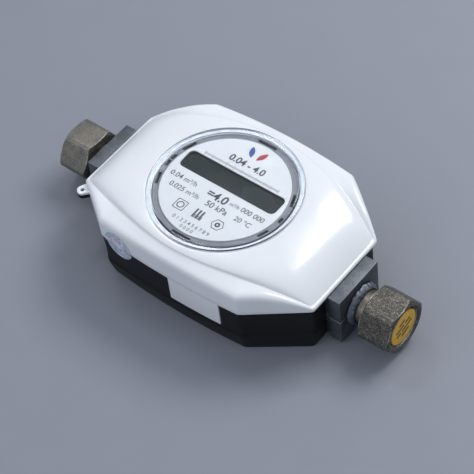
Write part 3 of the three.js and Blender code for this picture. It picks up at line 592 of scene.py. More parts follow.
def seal_foil():
    """Diffractive foil: soft bands of blue, violet, cyan and pink over small cells."""
    def build(graph, shader):
        place = graph.node("ShaderNodeTexCoord").outputs["Object"]
        drift = noise(graph, place, 120.0, 3.0, 0.62, distortion=1.2)
        cells = graph.node("ShaderNodeTexVoronoi", {"Vector": place, "Scale": 620.0})
        spread = drift + graph.value(cells.outputs["Color"]) * 0.3
        ramp = graph.node("ShaderNodeValToRGB", {"Fac": ranged(graph, spread, 0.42, 0.84)})
        stops = [(0.0, (0.22, 0.33, 0.37)), (0.3, (0.4, 0.53, 0.58)), (0.45, (0.34, 0.4, 0.56)),
                 (0.56, (0.62, 0.74, 0.8)), (0.66, (0.24, 0.62, 0.7)), (0.76, (0.66, 0.5, 0.76)),
                 (0.88, (0.82, 0.34, 0.5)), (1.0, (0.86, 0.9, 0.94))]
        elements = ramp.color_ramp.elements
        while len(elements) < len(stops):
            elements.new(0.5)
        for element, (place_at, tint) in zip(elements, stops):
            element.position = place_at
            element.color = (*tint, 1.0)
        graph.feed(shader["Base Color"], ramp.outputs["Color"])
        shader["Metallic"].default_value = 0.3
        graph.feed(shader["Roughness"], ranged(graph, drift, 0.3, 0.7, 0.2, 0.34))
        graph.feed(shader["Normal"], bumped(graph, cells.outputs["Distance"], 0.00004, 0.3))
    return material("rainbow_foil", build)


def floor_paint():
    """Matt studio floor."""
    tint = bpy.context.scene.gas_meter.stage.floor_tint

    def build(graph, shader):
        skin = grain(graph, 300.0)
        graph.feed(shader["Base Color"], blended(graph, skin["Mottle"], rgba(tint), rgba(tint, 0.985)))
        graph.feed(shader["Roughness"], skin["Height"] * 0.1 + 0.55)
    return material("floor_paint", build)


# ---------------------------------------------------------------- meshes

def lattice(rows, columns, wrap_rows=True, wrap_columns=True):
    """Four-sided faces between rows of points."""
    faces = []
    for r in range(rows if wrap_rows else rows - 1):
        for c in range(columns if wrap_columns else columns - 1):
            across = (c + 1) % columns
            up = (r + 1) % rows
            faces.append((r * columns + c, r * columns + across, up * columns + across, up * columns + c))
    return faces


def raw_object(name, points, faces):
    """An object at the origin, from points in millimetres."""
    mesh = bpy.data.meshes.new(name)
    mesh.from_pydata([[c * MM for c in p] for p in np.asarray(points, float).reshape(-1, 3).tolist()], [],
                     faces)
    made = bpy.data.objects.new(name, mesh)
    bpy.context.scene.collection.objects.link(made)
    return made


def tidy_mesh(obj, merge=0.00001):
    """Merges doubles and turns all faces outwards."""
    work = bmesh.new()
    work.from_mesh(obj.data)
    bmesh.ops.remove_doubles(work, verts=work.verts, dist=merge)
    bmesh.ops.delete(work, geom=[e for e in work.edges if not e.link_faces], context="EDGES")
    bmesh.ops.recalc_face_normals(work, faces=work.faces)
    work.to_mesh(obj.data)
    work.free()


def grid_object(name, grid, wrap_rows=True, wrap_columns=True, capped=False):
    """A closed object from a grid of points; capped closes the first and last row with one face each."""
    rows, columns = grid.shape[:2]
    faces = lattice(rows, columns, wrap_rows, wrap_columns)
    if capped:
        faces.append(tuple(range(columns)))
        faces.append(tuple(range((rows - 1) * columns, rows * columns)))
    made = raw_object(name, grid, faces)
    tidy_mesh(made)
    return made


def turned(name, profile, centre=(0.0, 0.0), axis="Z", side=1, sides=128):
    """A profile of [radius, distance] points turned about Z or about the pipe's axis."""
    profile = np.array(profile, float)
    angle = np.linspace(0.0, 2 * math.pi, sides, endpoint=False)
    radius = profile[:, :1]
    along = np.repeat(profile[:, 1:], sides, axis=1)
    first, second = radius * np.cos(angle), radius * np.sin(angle)
    if axis == "Z":
        grid = np.stack([first + centre[0], second + centre[1], along], axis=2)
    else:
        grid = np.stack([along * side, first + centre[0], second + AXIS_Z + centre[1]], axis=2)
    return grid_object(name, grid)


def rounded_profile(points, radius, steps=4):
    """A closed profile with its corners rounded off. A point may bring a radius of its own."""
    plain = [np.array(p[:2], float) for p in points]
    result = []
    for i, corner in enumerate(plain):
        own = points[i][2] if len(points[i]) > 2 else radius
        before, after = plain[i - 1], plain[(i + 1) % len(plain)]
        if own <= 0 or corner[0] < 1e-6:
            result.append(corner)
            continue
        back, ahead = before - corner, after - corner
        cut = min(own, 0.45 * np.linalg.norm(back), 0.45 * np.linalg.norm(ahead))
        start = corner + back / np.linalg.norm(back) * cut
        end = corner + ahead / np.linalg.norm(ahead) * cut
        for t in np.linspace(0.0, 1.0, steps + 1):
            result.append((1 - t) ** 2 * start + 2 * t * (1 - t) * corner + t ** 2 * end)
    return np.array(result)


def evaluated_mesh(obj):
    """The object's mesh with its modifiers, as a plain mesh."""
    bpy.context.view_layer.update()
    graph = bpy.context.evaluated_depsgraph_get()
    return bpy.data.meshes.new_from_object(obj.evaluated_get(graph), depsgraph=graph)


def settle(obj):
    """Replaces the object's mesh by the result of its modifiers, and removes them."""
    mesh = evaluated_mesh(obj)
    obj.modifiers.clear()
    old = obj.data
    obj.data = mesh
    bpy.data.meshes.remove(old)


def combine(obj, tool, operation):
    """Joins a tool to the object, or cuts it away, and removes the tool."""
    change = obj.modifiers.new("combine", "BOOLEAN")
    change.operation = operation
    change.object = tool
    change.solver = "EXACT"
    settle(obj)
    bpy.data.objects.remove(tool)


def bevel(obj, width, segments=2, angle=32.0):
    """Rounds the sharp edges of an object's mesh."""
    change = obj.modifiers.new("bevel", "BEVEL")
    change.width = width * MM
    change.segments = segments
    change.limit_method = "ANGLE"
    change.angle_limit = math.radians(angle)
    change.use_clamp_overlap = True
    settle(obj)


def block(name, low, high, rounding=0.0):
    """A box between two corners, with its edges rounded off."""
    points = [(x, y, z) for x in (low[0], high[0]) for y in (low[1], high[1]) for z in (low[2], high[2])]
    faces = [(0, 1, 3, 2), (4, 6, 7, 5), (0, 4, 5, 1), (2, 3, 7, 6), (0, 2, 6, 4), (1, 5, 7, 3)]
    made = raw_object(name, points, faces)
    tidy_mesh(made)
    if rounding:
        bevel(made, rounding, 3)
    return made


def refined(node, rounding, segments=2):
    """A copy of a frame node with merged corners, plain flats and rounded edges."""
    made = bpy.data.objects.new(node + "_fine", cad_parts[node].data.copy())
    bpy.context.scene.collection.objects.link(made)
    work = bmesh.new()
    work.from_mesh(made.data)
    bmesh.ops.remove_doubles(work, verts=work.verts, dist=0.000002)
    bmesh.ops.dissolve_limit(work, angle_limit=math.radians(1.0), verts=work.verts, edges=work.edges)
    work.to_mesh(made.data)
    work.free()
    if rounding:
        bevel(made, rounding, segments)
    return made


def finish_piece(obj, finish, nodes, body=HOUSING, sharp=34.0):
    """Gives a piece its shading, material and body, and hides the nodes it stands for."""
    obj.data.materials.clear()
    obj.data.materials.append(finish)
    for polygon in obj.data.polygons:
        polygon.use_smooth = True
    obj.data.set_sharp_from_angle(angle=math.radians(sharp))
    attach(obj, body)
    if nodes:
        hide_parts(*nodes)
    return obj


# ---------------------------------------------------------------- housing outline

END_X = COVER_HIGH.x                 # half length of the housing
SIDE_BOW = 2.3                       # how far a long side bulges outwards
SIDE_Y = COVER_HIGH.y - SIDE_BOW     # half width at the side corners
SIDE_X = 50.0                        # where a long side meets a diagonal
END_HALF_WIDTH = 29.8
CREASE_END_X = 81.8                  # the groove beside the band, up to an end corner
CREASE_MID_Y, CREASE_MID_Z = 49.6, 54.2
CREASE_END_Y, CREASE_END_Z = 28.8, 39.3
CREASE_SIDE_X = 44.0                 # the groove's point beside a side corner
BAND_TOP, BAND_DROP = 57.8, 20.3
WING_SIDE_Z, WING_END_Z, WING_SWELL, WING_CROWN = 51.3, 39.4, 16.8, 1.5
SIDE_EDGE, END_EDGE = 4.0, 1.6       # radius of the cover's upper edge
SIDE_BOTTOM, END_BOTTOM = 35.6, 36.8
LENS_SEAT_Z = 55.8
TONGUE_X = (0.3, 35.9)
TONGUE_BOTTOM = COVER_LOW.z
TONGUE_INSET, TONGUE_THICK = 0.5, 1.9
LUG = (-80.6, -36.2)
LUG_ROOT = (-77.5, -31.6)
CORNERS = ((1, 1), (-1, 1), (-1, -1), (1, -1))
STATIONS = (14, 24, 26)              # points along half an end, a diagonal and half a side


def side_y(x):
    """Half width of the housing along a long side."""
    return SIDE_Y + SIDE_BOW * (1 - (x / SIDE_X) ** 2)


class Quarter:
    """Points along one quarter of the outline, from the middle of an end to the middle of a side."""

    def __init__(self):
        end, diagonal, side = (np.arange(n) / n for n in STATIONS)
        self.end = np.sin(end * math.pi / 2)
        self.diagonal = (1 - np.cos(diagonal * math.pi)) / 2
        self.side = 1 - np.cos(np.append(side, 1.0) * math.pi / 2)
        self.edge = self.each(END_EDGE, lambda t: END_EDGE + (SIDE_EDGE - END_EDGE) * np.minimum(1, 2 * t),
                              SIDE_EDGE)
        self.bottom = self.each(END_BOTTOM, lambda t: END_BOTTOM + (SIDE_BOTTOM - END_BOTTOM) * t,
                                SIDE_BOTTOM)
        swell = lambda t: WING_END_Z + (WING_SIDE_Z - WING_END_Z) * t + WING_SWELL * t * (1 - t)
        self.wing = self.each(WING_END_Z, swell, WING_SIDE_Z)
        self.wing[-len(self.side):] += WING_CROWN * (1 - (1 - self.side) ** 2)

    def each(self, end, diagonal, side):
        """Values at all stations, from one value or rule for each stretch."""
        return np.concatenate([np.full(len(self.end), end), diagonal(self.diagonal),
                               np.full(len(self.side), side)])

    def plan(self, inset):
        """The outline moved inwards, as x and y."""
        inset = np.broadcast_to(inset, len(self.edge)).astype(float)
        e, d = len(self.end), len(self.diagonal)
        corner_y = END_HALF_WIDTH - 0.511 * inset
        side_x, side_corner_y = SIDE_X - 0.365 * inset, SIDE_Y - 0.971 * inset
        x, y = END_X - inset, corner_y * 1.0
        y[:e] *= self.end
        t = self.diagonal
        x[e:e + d] += (side_x[e:e + d] - x[e:e + d]) * t
        y[e:e + d] += (side_corner_y[e:e + d] - y[e:e + d]) * t
        x[e + d:] = side_x[e + d:] * (1 - self.side)
        bow = SIDE_BOW * (1 - (1 - self.side) ** 2)
        y[e + d:] = side_corner_y[e + d:] + bow
        return x, y

    def groove(self):
        """The groove beside the raised band, as x, y and z."""
        x = self.each(CREASE_END_X, lambda t: CREASE_END_X + (CREASE_SIDE_X - CREASE_END_X) * t, 0.0)
        x[-len(self.side):] = CREASE_SIDE_X * (1 - self.side)
        y, _ = groove_at(x)
        y[:len(self.end)] = CREASE_END_Y * self.end
        return x, y, band_height(x, y)


def groove_at(x):
    """Half width and height of the groove at a place along the housing."""
    t = np.minimum(np.abs(x) / CREASE_END_X, 1.0)
    return (CREASE_END_Y + (CREASE_MID_Y - CREASE_END_Y) * (1 - t ** 1.77),
            CREASE_END_Z + (CREASE_MID_Z - CREASE_END_Z) * (1 - t ** 3.52))


def band_height(x, y):
    """Top of the raised band over a place in plan."""
    ridge = BAND_TOP - BAND_DROP * np.minimum(np.abs(x) / END_X, 1.0) ** 5
    groove_y, groove_z = groove_at(x)
    t = np.minimum(1.0, np.abs(y) / groove_y)
    return groove_z + np.maximum(0.0, ridge - groove_z) * (1 - t ** 5) ** 0.4


def whole_ring(x, y, z):
    """A full ring from one quarter of it."""
    quarter = np.stack(np.broadcast_arrays(x, y, z), axis=1)
    back = quarter[::-1]
    left, down = np.array([-1, 1, 1]), np.array([1, -1, 1])
    return np.vstack([quarter[:-1], back[:-1] * left, quarter[:-1] * left * down, back[:-1] * down])


QUARTER = Quarter()


def ring(inset, height):
    """A ring at one inset and height round the whole outline."""
    return whole_ring(*QUARTER.plan(inset), height)


def soften(grid, axis, weight, passes):
    """Rounds a grid of points off along one axis, where weight is 1."""
    for _ in range(passes):
        mean = (np.roll(grid, 1, axis) + np.roll(grid, -1, axis)) / 4 + grid / 2
        grid = grid + (mean - grid) * weight
    return grid


def corner_weight(columns):
    """1 at the stations beside an upright corner of the outline, fading to 0 away from it."""
    e, d, s = STATIONS
    corners = [e, e + d]
    quarter = e + d + s
    corners += [2 * quarter - c for c in corners] + [2 * quarter + c for c in corners]
    corners += [4 * quarter - c for c in (e, e + d)]
    reach = np.min([np.abs(np.arange(columns) - c) for c in corners], axis=0)
    return np.clip((9 - reach) / 4, 0, 1)[None, :, None]


# ---------------------------------------------------------------- top cover

def band_ring(portion, seat, drop=0.0):
    """A ring on the band between the window's seat (0) and the groove (1)."""
    x, y, _ = QUARTER.groove()
    angle = np.arctan2(*QUARTER.plan(0.0)[::-1])
    x = seat * np.cos(angle) * (1 - portion) + x * portion
    y = seat * np.sin(angle) * (1 - portion) + y * portion
    return whole_ring(x, y, band_height(x, y) - drop)


def round_ring(radius, height):
    """A ring on a circle round the window."""
    angle = np.arctan2(*QUARTER.plan(0.0)[::-1])
    return whole_ring(radius * np.cos(angle), radius * np.sin(angle), height)


def cover_grid(settings):
    """Points of the cover's skin: up the outside, over the band, down the seat and back inside."""
    q = QUARTER
    lip, wall = settings.lip / MM, settings.wall / MM
    seat, opening = LENS_HIGH.x + 0.25, LENS_HIGH.x - 3.0
    rows = [ring(lip, q.bottom), ring(lip * 0.3, q.bottom + lip * 0.3), ring(0.0, q.bottom + lip)]
    top = q.wing - q.edge
    for t in (0.25, 0.5, 0.75, 1.0):
        rows.append(ring(0.0, q.bottom + lip + (top - q.bottom - lip) * t))
    for turn in np.radians(np.linspace(0, 90, 10)[1:]):
        rows.append(ring(q.edge * (1 - math.cos(turn)), top + q.edge * math.sin(turn)))
    shoulder = rows[-1]
    groove = band_ring(1.0, seat)
    for t in (0.2, 0.4, 0.6, 0.75, 0.86, 0.94, 1.0):
        rows.append(shoulder + (groove - shoulder) * t)
    groove_row = len(rows) - 1
    steps = 40
    for i in range(1, steps + 1):
        rows.append(band_ring(1 - (i / steps) ** 2, seat + 0.5))
    crown = rows[-1][:, 2]
    rows.append(round_ring(seat + 0.15, 0.0))
    rows[-1][:, 2] = crown - 0.12
    rows.append(round_ring(seat, 0.0))
    rows[-1][:, 2] = crown - 0.5
    rows += [round_ring(seat, LENS_SEAT_Z), round_ring(opening, LENS_SEAT_Z),
             round_ring(opening, BAND_TOP - 5.0)]
    for portion in (0.3, 0.6, 0.85, 1.0):
        rows.append(band_ring(portion, opening + 2.0, wall))
    rows.append(ring(wall + q.edge, q.wing - wall))
    rows.append(ring(wall + q.edge * 0.3, q.wing - wall - q.edge * 0.3))
    rows += [ring(wall, q.wing - wall - q.edge), ring(wall, q.bottom + lip), ring(wall - lip, q.bottom)]
    grid = np.array(rows)
    grid = soften(grid, 1, corner_weight(grid.shape[1]), settings.corner_rounding)
    near = np.abs(np.arange(len(rows)) - groove_row)
    weight = np.clip((12 - near) / 6, 0, 1)[:, None, None]
    return soften(grid, 0, weight, settings.groove_rounding)


def tongue(name, side, grow, top):
    """The slab of a tongue on one long side, larger all round by grow."""
    low, high = TONGUE_X[0] - grow, TONGUE_X[1] + grow
    x = np.linspace(low, high, 25)
    outer = side_y(x) - TONGUE_INSET + (6.0 if grow else 0.0)
    inner = side_y(x) - TONGUE_INSET - TONGUE_THICK - grow
    bottom = TONGUE_BOTTOM - grow
    rows = [np.stack([x, y * side, np.full_like(x, z)], 1)
            for y, z in ((outer, bottom), (outer, top), (inner, top), (inner, bottom))]
    grid = np.transpose(np.array(rows), (1, 0, 2))
    made = grid_object(name, grid, wrap_rows=False, capped=True)
    if not grow:
        bevel(made, 0.45, 3, 50)
    return made


def lug_outline(grow, steps=20):
    """Plan of the sealing lug: a round end that widens into the wall."""
    along = math.atan2(LUG_ROOT[1] - LUG[1], LUG_ROOT[0] - LUG[0]) + math.pi / 2
    points = []
    for (x, y), radius, start in ((LUG, 3.3, along), (LUG_ROOT, 4.0, along + math.pi)):
        for i in range(steps):
            angle = start + math.pi * i / (steps - 1)
            points.append((x + (radius + grow) * math.cos(angle), y + (radius + grow) * math.sin(angle)))
    return points


def lug(name, low, high):
    """A sealing lug with its wire hole and rounded edges."""
    rows = []
    for grow, z in ((-0.4, low), (-0.1, low + 0.1), (0, low + 0.4), (0, high - 0.4), (-0.1, high - 0.1),
                    (-0.4, high)):
        rows.append([(x, y, z) for x, y in lug_outline(grow)])
    made = grid_object(name, np.array(rows), wrap_rows=False, capped=True)
    hole = turned("hole", [(0.0, low - 1), (1.5, low - 1), (1.2, low + 0.35), (1.2, high - 0.35),
                           (1.5, high + 1), (0.0, high + 1)], LUG, sides=32)
    combine(made, hole, "DIFFERENCE")
    return made


class GAS_METER_OT_cover(bpy.types.Operator):
    """Build the white cover with its band, groove, tongues and sealing lug"""
    bl_idname = "gas_meter.cover"
    bl_label = "Top Cover"

    def execute(self, context):
        settings = context.scene.gas_meter.cover
        cover = grid_object("cover_shell", cover_grid(settings))
        for side in (1, -1):
            combine(cover, tongue("tongue", side, 0.0, 38.0), "UNION")
        combine(cover, lug("lug", 36.9, 38.6), "UNION")
        tidy_mesh(cover)
        finish_piece(cover, white_plastic(), ["top_cover"])
        return {"FINISHED"}


# ---------------------------------------------------------------- base

DIAGONAL_SET_BACK = 1.1              # the base stands back further on its diagonals and ends


def base_grid(settings):
    """Points of the base tray: up the outside, over the rim and down inside."""
    q = QUARTER
    wall, ledge = settings.wall_inset / MM, settings.ledge_inset / MM
    foot, height = settings.foot_inset / MM, settings.ledge_height / MM
    inside, floor = wall + 2.6, 2.4
    top = q.bottom - 0.3
    set_back = q.each(DIAGONAL_SET_BACK, lambda t: DIAGONAL_SET_BACK * np.minimum(1.0, (1 - t) * 8), 0.0)
    rows = [ring(foot + 0.5, 0.0), ring(foot + 0.12, 0.12), ring(foot - 0.15, 0.6)]
    for t in (0.3, 0.6, 0.85, 1.0):
        rows.append(ring(foot - (foot - ledge - set_back) * t ** 0.8, 0.6 + (height - 1.2) * t))
    ledge, wall = ledge + set_back, wall + set_back
    rows += [ring(ledge, height - 0.35), ring(ledge + 0.1, height - 0.08), ring(ledge + 0.3, height)]
    rows += [ring(wall - 0.05, height + 0.06), ring(wall, height + 0.3)]
    rows += [ring(wall, height + (top - height) * t) for t in (0.35, 0.7)]
    rows += [ring(wall, top - 0.4), ring(wall + 0.4, top), ring(inside - 0.3, top), ring(inside, top - 0.4)]
    rows += [ring(inside, height), ring(foot + 2.2, floor + 1.0), ring(foot + 3.4, floor)]
    grid = np.array(rows)
    return soften(grid, 1, corner_weight(grid.shape[1]), 10)


class GAS_METER_OT_base(bpy.types.Operator):
    """Build the black base tray with its ledge, recesses and screw holes"""
    bl_idname = "gas_meter.base"
    bl_label = "Base"

    def execute(self, context):
        settings = context.scene.gas_meter.base
        base = grid_object("base_shell", base_grid(settings), wrap_rows=False, capped=True)
        combine(base, lug("base_lug", 34.2, 36.1), "UNION")
        for side in (1, -1):
            combine(base, tongue("recess", side, 0.35, 50.0), "DIFFERENCE")
            ends = sorted((side * 74.0, side * 90.0))
            combine(base, block("gate", (ends[0], -17.3, 3.7), (ends[1], 17.3, 60.0)), "DIFFERENCE")
        for kind, wide, deep in (("cover_screw_1", 4.0, 5.4), ("base_screw_1", 3.6, 2.0)):
            low, high = frame_box(kind)
            place = (low + high) / 2
            for sx, sy in CORNERS:
                hole = turned("hole", [(0, -1), (wide + 0.35, -1), (wide + 0.35, 0.0), (wide, 0.35),
                                       (wide, deep),
                                       (0, deep)], (sx * place.x, sy * place.y), sides=48)
                combine(base, hole, "DIFFERENCE")
        tidy_mesh(base)
        finish_piece(base, black_plastic(), ["base_housing"])
        return {"FINISHED"}


# ---------------------------------------------------------------- register

SLOT_RADIUS = 40.2
SLOTS = ((159.5, 9.0), (176.0, 4.5), (184.0, 5.0), (201.5, 9.0), (270.5, 13.0),
         (90.8, 13.0), (21.4, 9.0), (-0.6, 4.0), (-19.6, 7.0))    # degrees round the ring, and wide


def rounded_plan(x0, y0, x1, y1, corner, steps=8):
    """A rectangle with round corners, as plan points."""
    points = []
    middles = ((x1 - corner, y1 - corner), (x0 + corner, y1 - corner),
               (x0 + corner, y0 + corner), (x1 - corner, y0 + corner))
    for turn, (x, y) in enumerate(middles):
        for i in range(steps + 1):
            angle = (turn + i / steps) * math.pi / 2
            points.append((x + corner * math.cos(angle), y + corner * math.sin(angle)))
    return points


def slab(name, plan, low, high):
    """A plan outline raised from low to high."""
    rows = [[(x, y, z) for x, y in plan] for z in (low, high)]
    return grid_object(name, np.array(rows), wrap_rows=False, capped=True)


def window_plan(grow=0.0):
    """Plan of the display's window in the dial."""
    return rounded_plan(-34.6 - grow, -0.6 - grow, 34.6 + grow, 13.2 + grow, 3.4 + grow)


class GAS_METER_OT_register(bpy.types.Operator):
    """Build the clear window, the slotted ring, the dial and the display"""
    bl_idname = "gas_meter.register"
    bl_label = "Register"

    def execute(self, context):
        settings = context.scene.gas_meter.register
        rim, step = settings.rim / MM, settings.rim_height / MM
        edge, top, bottom = LENS_HIGH.x, LENS_HIGH.z, LENS_LOW.z
        inner = edge - rim
        lens = turned("lens", rounded_profile([
            (0, bottom), (edge - 0.4, bottom), (edge, bottom + 0.4), (edge, top, 0.6),
            (inner, top, 0.5), (inner - 0.35, top - step, 0.3), (0, top - step)], 0.15), sides=192)
        finish_piece(lens, clear_plastic(), ["window_lens"])
        ring_tint = plain_plastic("grey_plastic", settings.ring_tint, 0.42, 1400.0, 0.00003)
        holder = turned("ring", rounded_profile([
            (36.0, 53.0), (41.9, 53.0), (41.9, DIAL_HIGH.z - 0.35), (41.3, DIAL_HIGH.z - 0.2),
            (40.9, DIAL_HIGH.z - 0.45), (38.9, DIAL_HIGH.z - 0.45), (38.6, DIAL_HIGH.z - 0.3),
            (38.25, DIAL_HIGH.z - 0.3), (38.25, DIAL_LOW.z - 0.2), (36.0, DIAL_LOW.z - 0.2)], 0.12),
                        sides=192)
        low, high = frame_box("lcd_panel")
        combine(holder, block("gap", (low.x - 0.3, low.y - 0.3, 50),
                              (high.x + 0.3, high.y + 0.3, DIAL_LOW.z - 0.1)),
                "DIFFERENCE")
        for turn, wide in SLOTS:
            slot = block("slot", (SLOT_RADIUS - 1.0, -wide / 2, 50.0), (SLOT_RADIUS + 0.9, wide / 2, 60.0),
                         0.2)
            slot.data.transform(Matrix.Rotation(math.radians(turn), 4, "Z"))
            combine(holder, slot, "DIFFERENCE")
        finish_piece(holder, ring_tint, ["register_ring"])
        dial = turned("dial", rounded_profile([
            (0, DIAL_LOW.z), (DIAL_HIGH.x, DIAL_LOW.z), (DIAL_HIGH.x, DIAL_HIGH.z), (0, DIAL_HIGH.z)], 0.12),
                      sides=192)
        combine(dial, slab("window", window_plan(), 50.0, 60.0), "DIFFERENCE")
        finish_piece(dial, printed_sheet(), ["dial_plate"])
        display = refined("lcd_panel", 0.3, 3)
        display.name = "display"
        finish_piece(display, display_glass(), ["lcd_panel"])
        gasket = turned("window_gasket", rounded_profile([
            (43.2, 56.1), (45.2, 56.1), (45.2, 56.7), (43.2, 56.7)], 0.25), sides=160)
        finish_piece(gasket, soft("white_silicone", (0.42, 0.45, 0.5), 0.45, 1500.0, 0.00001),
                     ["lens_gasket"])
        return {"FINISHED"}


# ---------------------------------------------------------------- union connections

PORTS = {"inlet": -1, "outlet": 1}


def port_span(port, piece):
    """Where a piece of one port starts and ends, as distances from the middle."""
    low, high = frame_box(f"{port}_{piece}")
    return sorted((abs(low.x), abs(high.x)))


class GAS_METER_OT_flow_body(bpy.types.Operator):
    """Build the two steel halves of the flow body and the gasket between them"""
    bl_idname = "gas_meter.flow_body"
    bl_label = "Flow Body"

    def execute(self, context):
        for half in ("upper", "lower"):
            node = f"flow_body_{half}"
            finish_piece(refined(node, 0.45, 3), body_steel(), [node])
        for side in ("front", "back"):
            node = f"flow_body_gasket_{side}"
            finish_piece(refined(node, 0.0), soft("fibre", (0.1, 0.11, 0.1), 0.7, 900.0, 0.00004),
                         [node])
        return {"FINISHED"}


def bead_tree():
    """A weld bead round the pipe: a ring of overlapping ripples."""
    graph, given, out = new_tree("Weld bead", "GeometryNodeTree", [
        ("Start", "value", 0.093), ("Pipe", "value", 0.0107), ("Reach", "value", 0.0042),
        ("Height", "value", 0.0039), ("Ripples", "value", 34.0), ("Side", "value", 1.0),
        ("Axis", "value", 0.02), ("Metal", "material", None)], [("Shape", "shape")])
    columns, rows = 240, 28
    grid = graph.node("GeometryNodeMeshGrid", {
        "Size X": 1.0, "Size Y": 1.0, "Vertices X": columns + 1, "Vertices Y": rows + 1})
    index = graph.value(graph.node("GeometryNodeInputIndex").outputs[0])
    column = (index / (rows + 1) + 0.0001).do("FLOOR")
    row = index - column * (rows + 1)
    turn = column * (2 * math.pi / columns)
    tilt = row * (2 * math.pi / rows)
    lean = tilt.do("SINE") * 0.5
    ripple = (turn * given["Ripples"] + lean * 3.0).do("SINE").do("ABSOLUTE")
    circle = graph.node("ShaderNodeCombineXYZ", {
        "X": turn.do("COSINE") * 3.0, "Y": turn.do("SINE") * 3.0, "Z": tilt.do("COSINE") * 0.5})
    lump = graph.value(graph.node("ShaderNodeTexNoise",
                                  {"Vector": circle.outputs[0], "Scale": 2.2}).outputs[0])
    swell = ripple * 0.07 + lump * 0.5 + 0.72
    along = tilt.do("COSINE") * 0.5 + 0.5
    outward = (tilt.do("SINE") * 0.5 + 0.5) * (1.0 - along * 0.62)
    radius = outward * swell * given["Height"] + given["Pipe"]
    x = (along * graph.value(given["Reach"]) * (lump * 0.3 + 0.85) + given["Start"]) * given["Side"]
    place = graph.node("ShaderNodeCombineXYZ", {
        "X": x, "Y": radius * turn.do("COSINE"), "Z": radius * turn.do("SINE") + given["Axis"]})
    moved = graph.node("GeometryNodeSetPosition", {"Geometry": grid.outputs["Mesh"],
                                                   "Position": place.outputs[0]})
    joined = graph.node("GeometryNodeMergeByDistance", {"Geometry": moved.outputs[0], "Distance": 0.000005})
    return painted_result(graph, out, joined.outputs[0], given["Metal"])


def painted_result(graph, out, shape, finish):
    """Ends a geometry tree: copies made real, the finish set, and the shape put out."""
    real = graph.node("GeometryNodeRealizeInstances", {"Geometry": shape})
    painted = graph.node("GeometryNodeSetMaterial", {"Geometry": real.outputs[0], "Material": finish})
    graph.feed(out["Shape"], painted.outputs[0])
    return graph.tree


def grown(name, tree, values):
    """A piece made by a geometry tree with these inputs, as a plain mesh."""
    made = bpy.data.objects.new(name, bpy.data.meshes.new(name))
    bpy.context.scene.collection.objects.link(made)
    change = made.modifiers.new("shape", "NODES")
    change.node_group = tree
    sockets = {s.name: s.identifier for s in tree.interface.items_tree if s.in_out == "INPUT"}
    for label, value in values.items():
        change[sockets[label]] = value
    settle(made)
    tidy_mesh(made)
    return made


class GAS_METER_OT_pipes(bpy.types.Operator):
    """Build the nipples, weld beads, slip washers and sealing gaskets of both ports"""
    bl_idname = "gas_meter.pipes"
    bl_label = "Pipes and Welds"

    def execute(self, context):
        settings = context.scene.gas_meter.union
        tree = bead_tree()
        for port, side in PORTS.items():
            start, end = port_span(port, "nipple")
            seal_start, seal_end = port_span(port, "sealing_gasket")
            washer_start, washer_end = port_span(port, "slip_washer")
            pipe = turned(f"{port}_pipe", rounded_profile([
                (8.0, start), (10.4, start), (10.4, end - 1.8, 0.3), (11.9, end - 1.8), (11.9, end),
                (8.0, end)],
                0.25), axis="X", side=side, sides=96)
            finish_piece(pipe, pipe_steel(), [f"{port}_nipple"])
            bead = grown(f"{port}_bead", tree, {
                "Start": (start - 0.2) * MM, "Ripples": float(settings.ripples), "Side": float(side),
                "Axis": AXIS_Z * MM, "Pipe": 10.3 * MM, "Metal": weld_steel()})
            finish_piece(bead, weld_steel(), [f"{port}_weld_bead"], sharp=60.0)
            washer = turned(f"{port}_washer", rounded_profile([
                (10.65, washer_start), (11.9, washer_start), (11.9, washer_end), (10.65, washer_end)], 0.25),
                axis="X", side=side, sides=96)
            finish_piece(washer, brass(), [f"{port}_slip_washer"], body=f"{port}_slip")
            seal = turned(f"{port}_seal_ring", rounded_profile([
                (8.0, seal_start), (11.9, seal_start), (11.9, seal_end), (8.0, seal_end)], 0.2),
                axis="X", side=side, sides=96)
            finish_piece(seal, soft("fibre", (0.1, 0.11, 0.1), 0.7, 900.0, 0.00004),
                         [f"{port}_sealing_gasket"])
        return {"FINISHED"}


def picked(graph, index, values):
    """The value whose place in the list is the index."""
    node = graph.node("GeometryNodeIndexSwitch", data_type="FLOAT")
    while len(node.index_switch_items) < len(values):
        node.index_switch_items.new()
    graph.feed(node.inputs[0], index)
    for i, value in enumerate(values):
        graph.feed(node.inputs[i + 1], value)
    return graph.value(node.outputs[0])


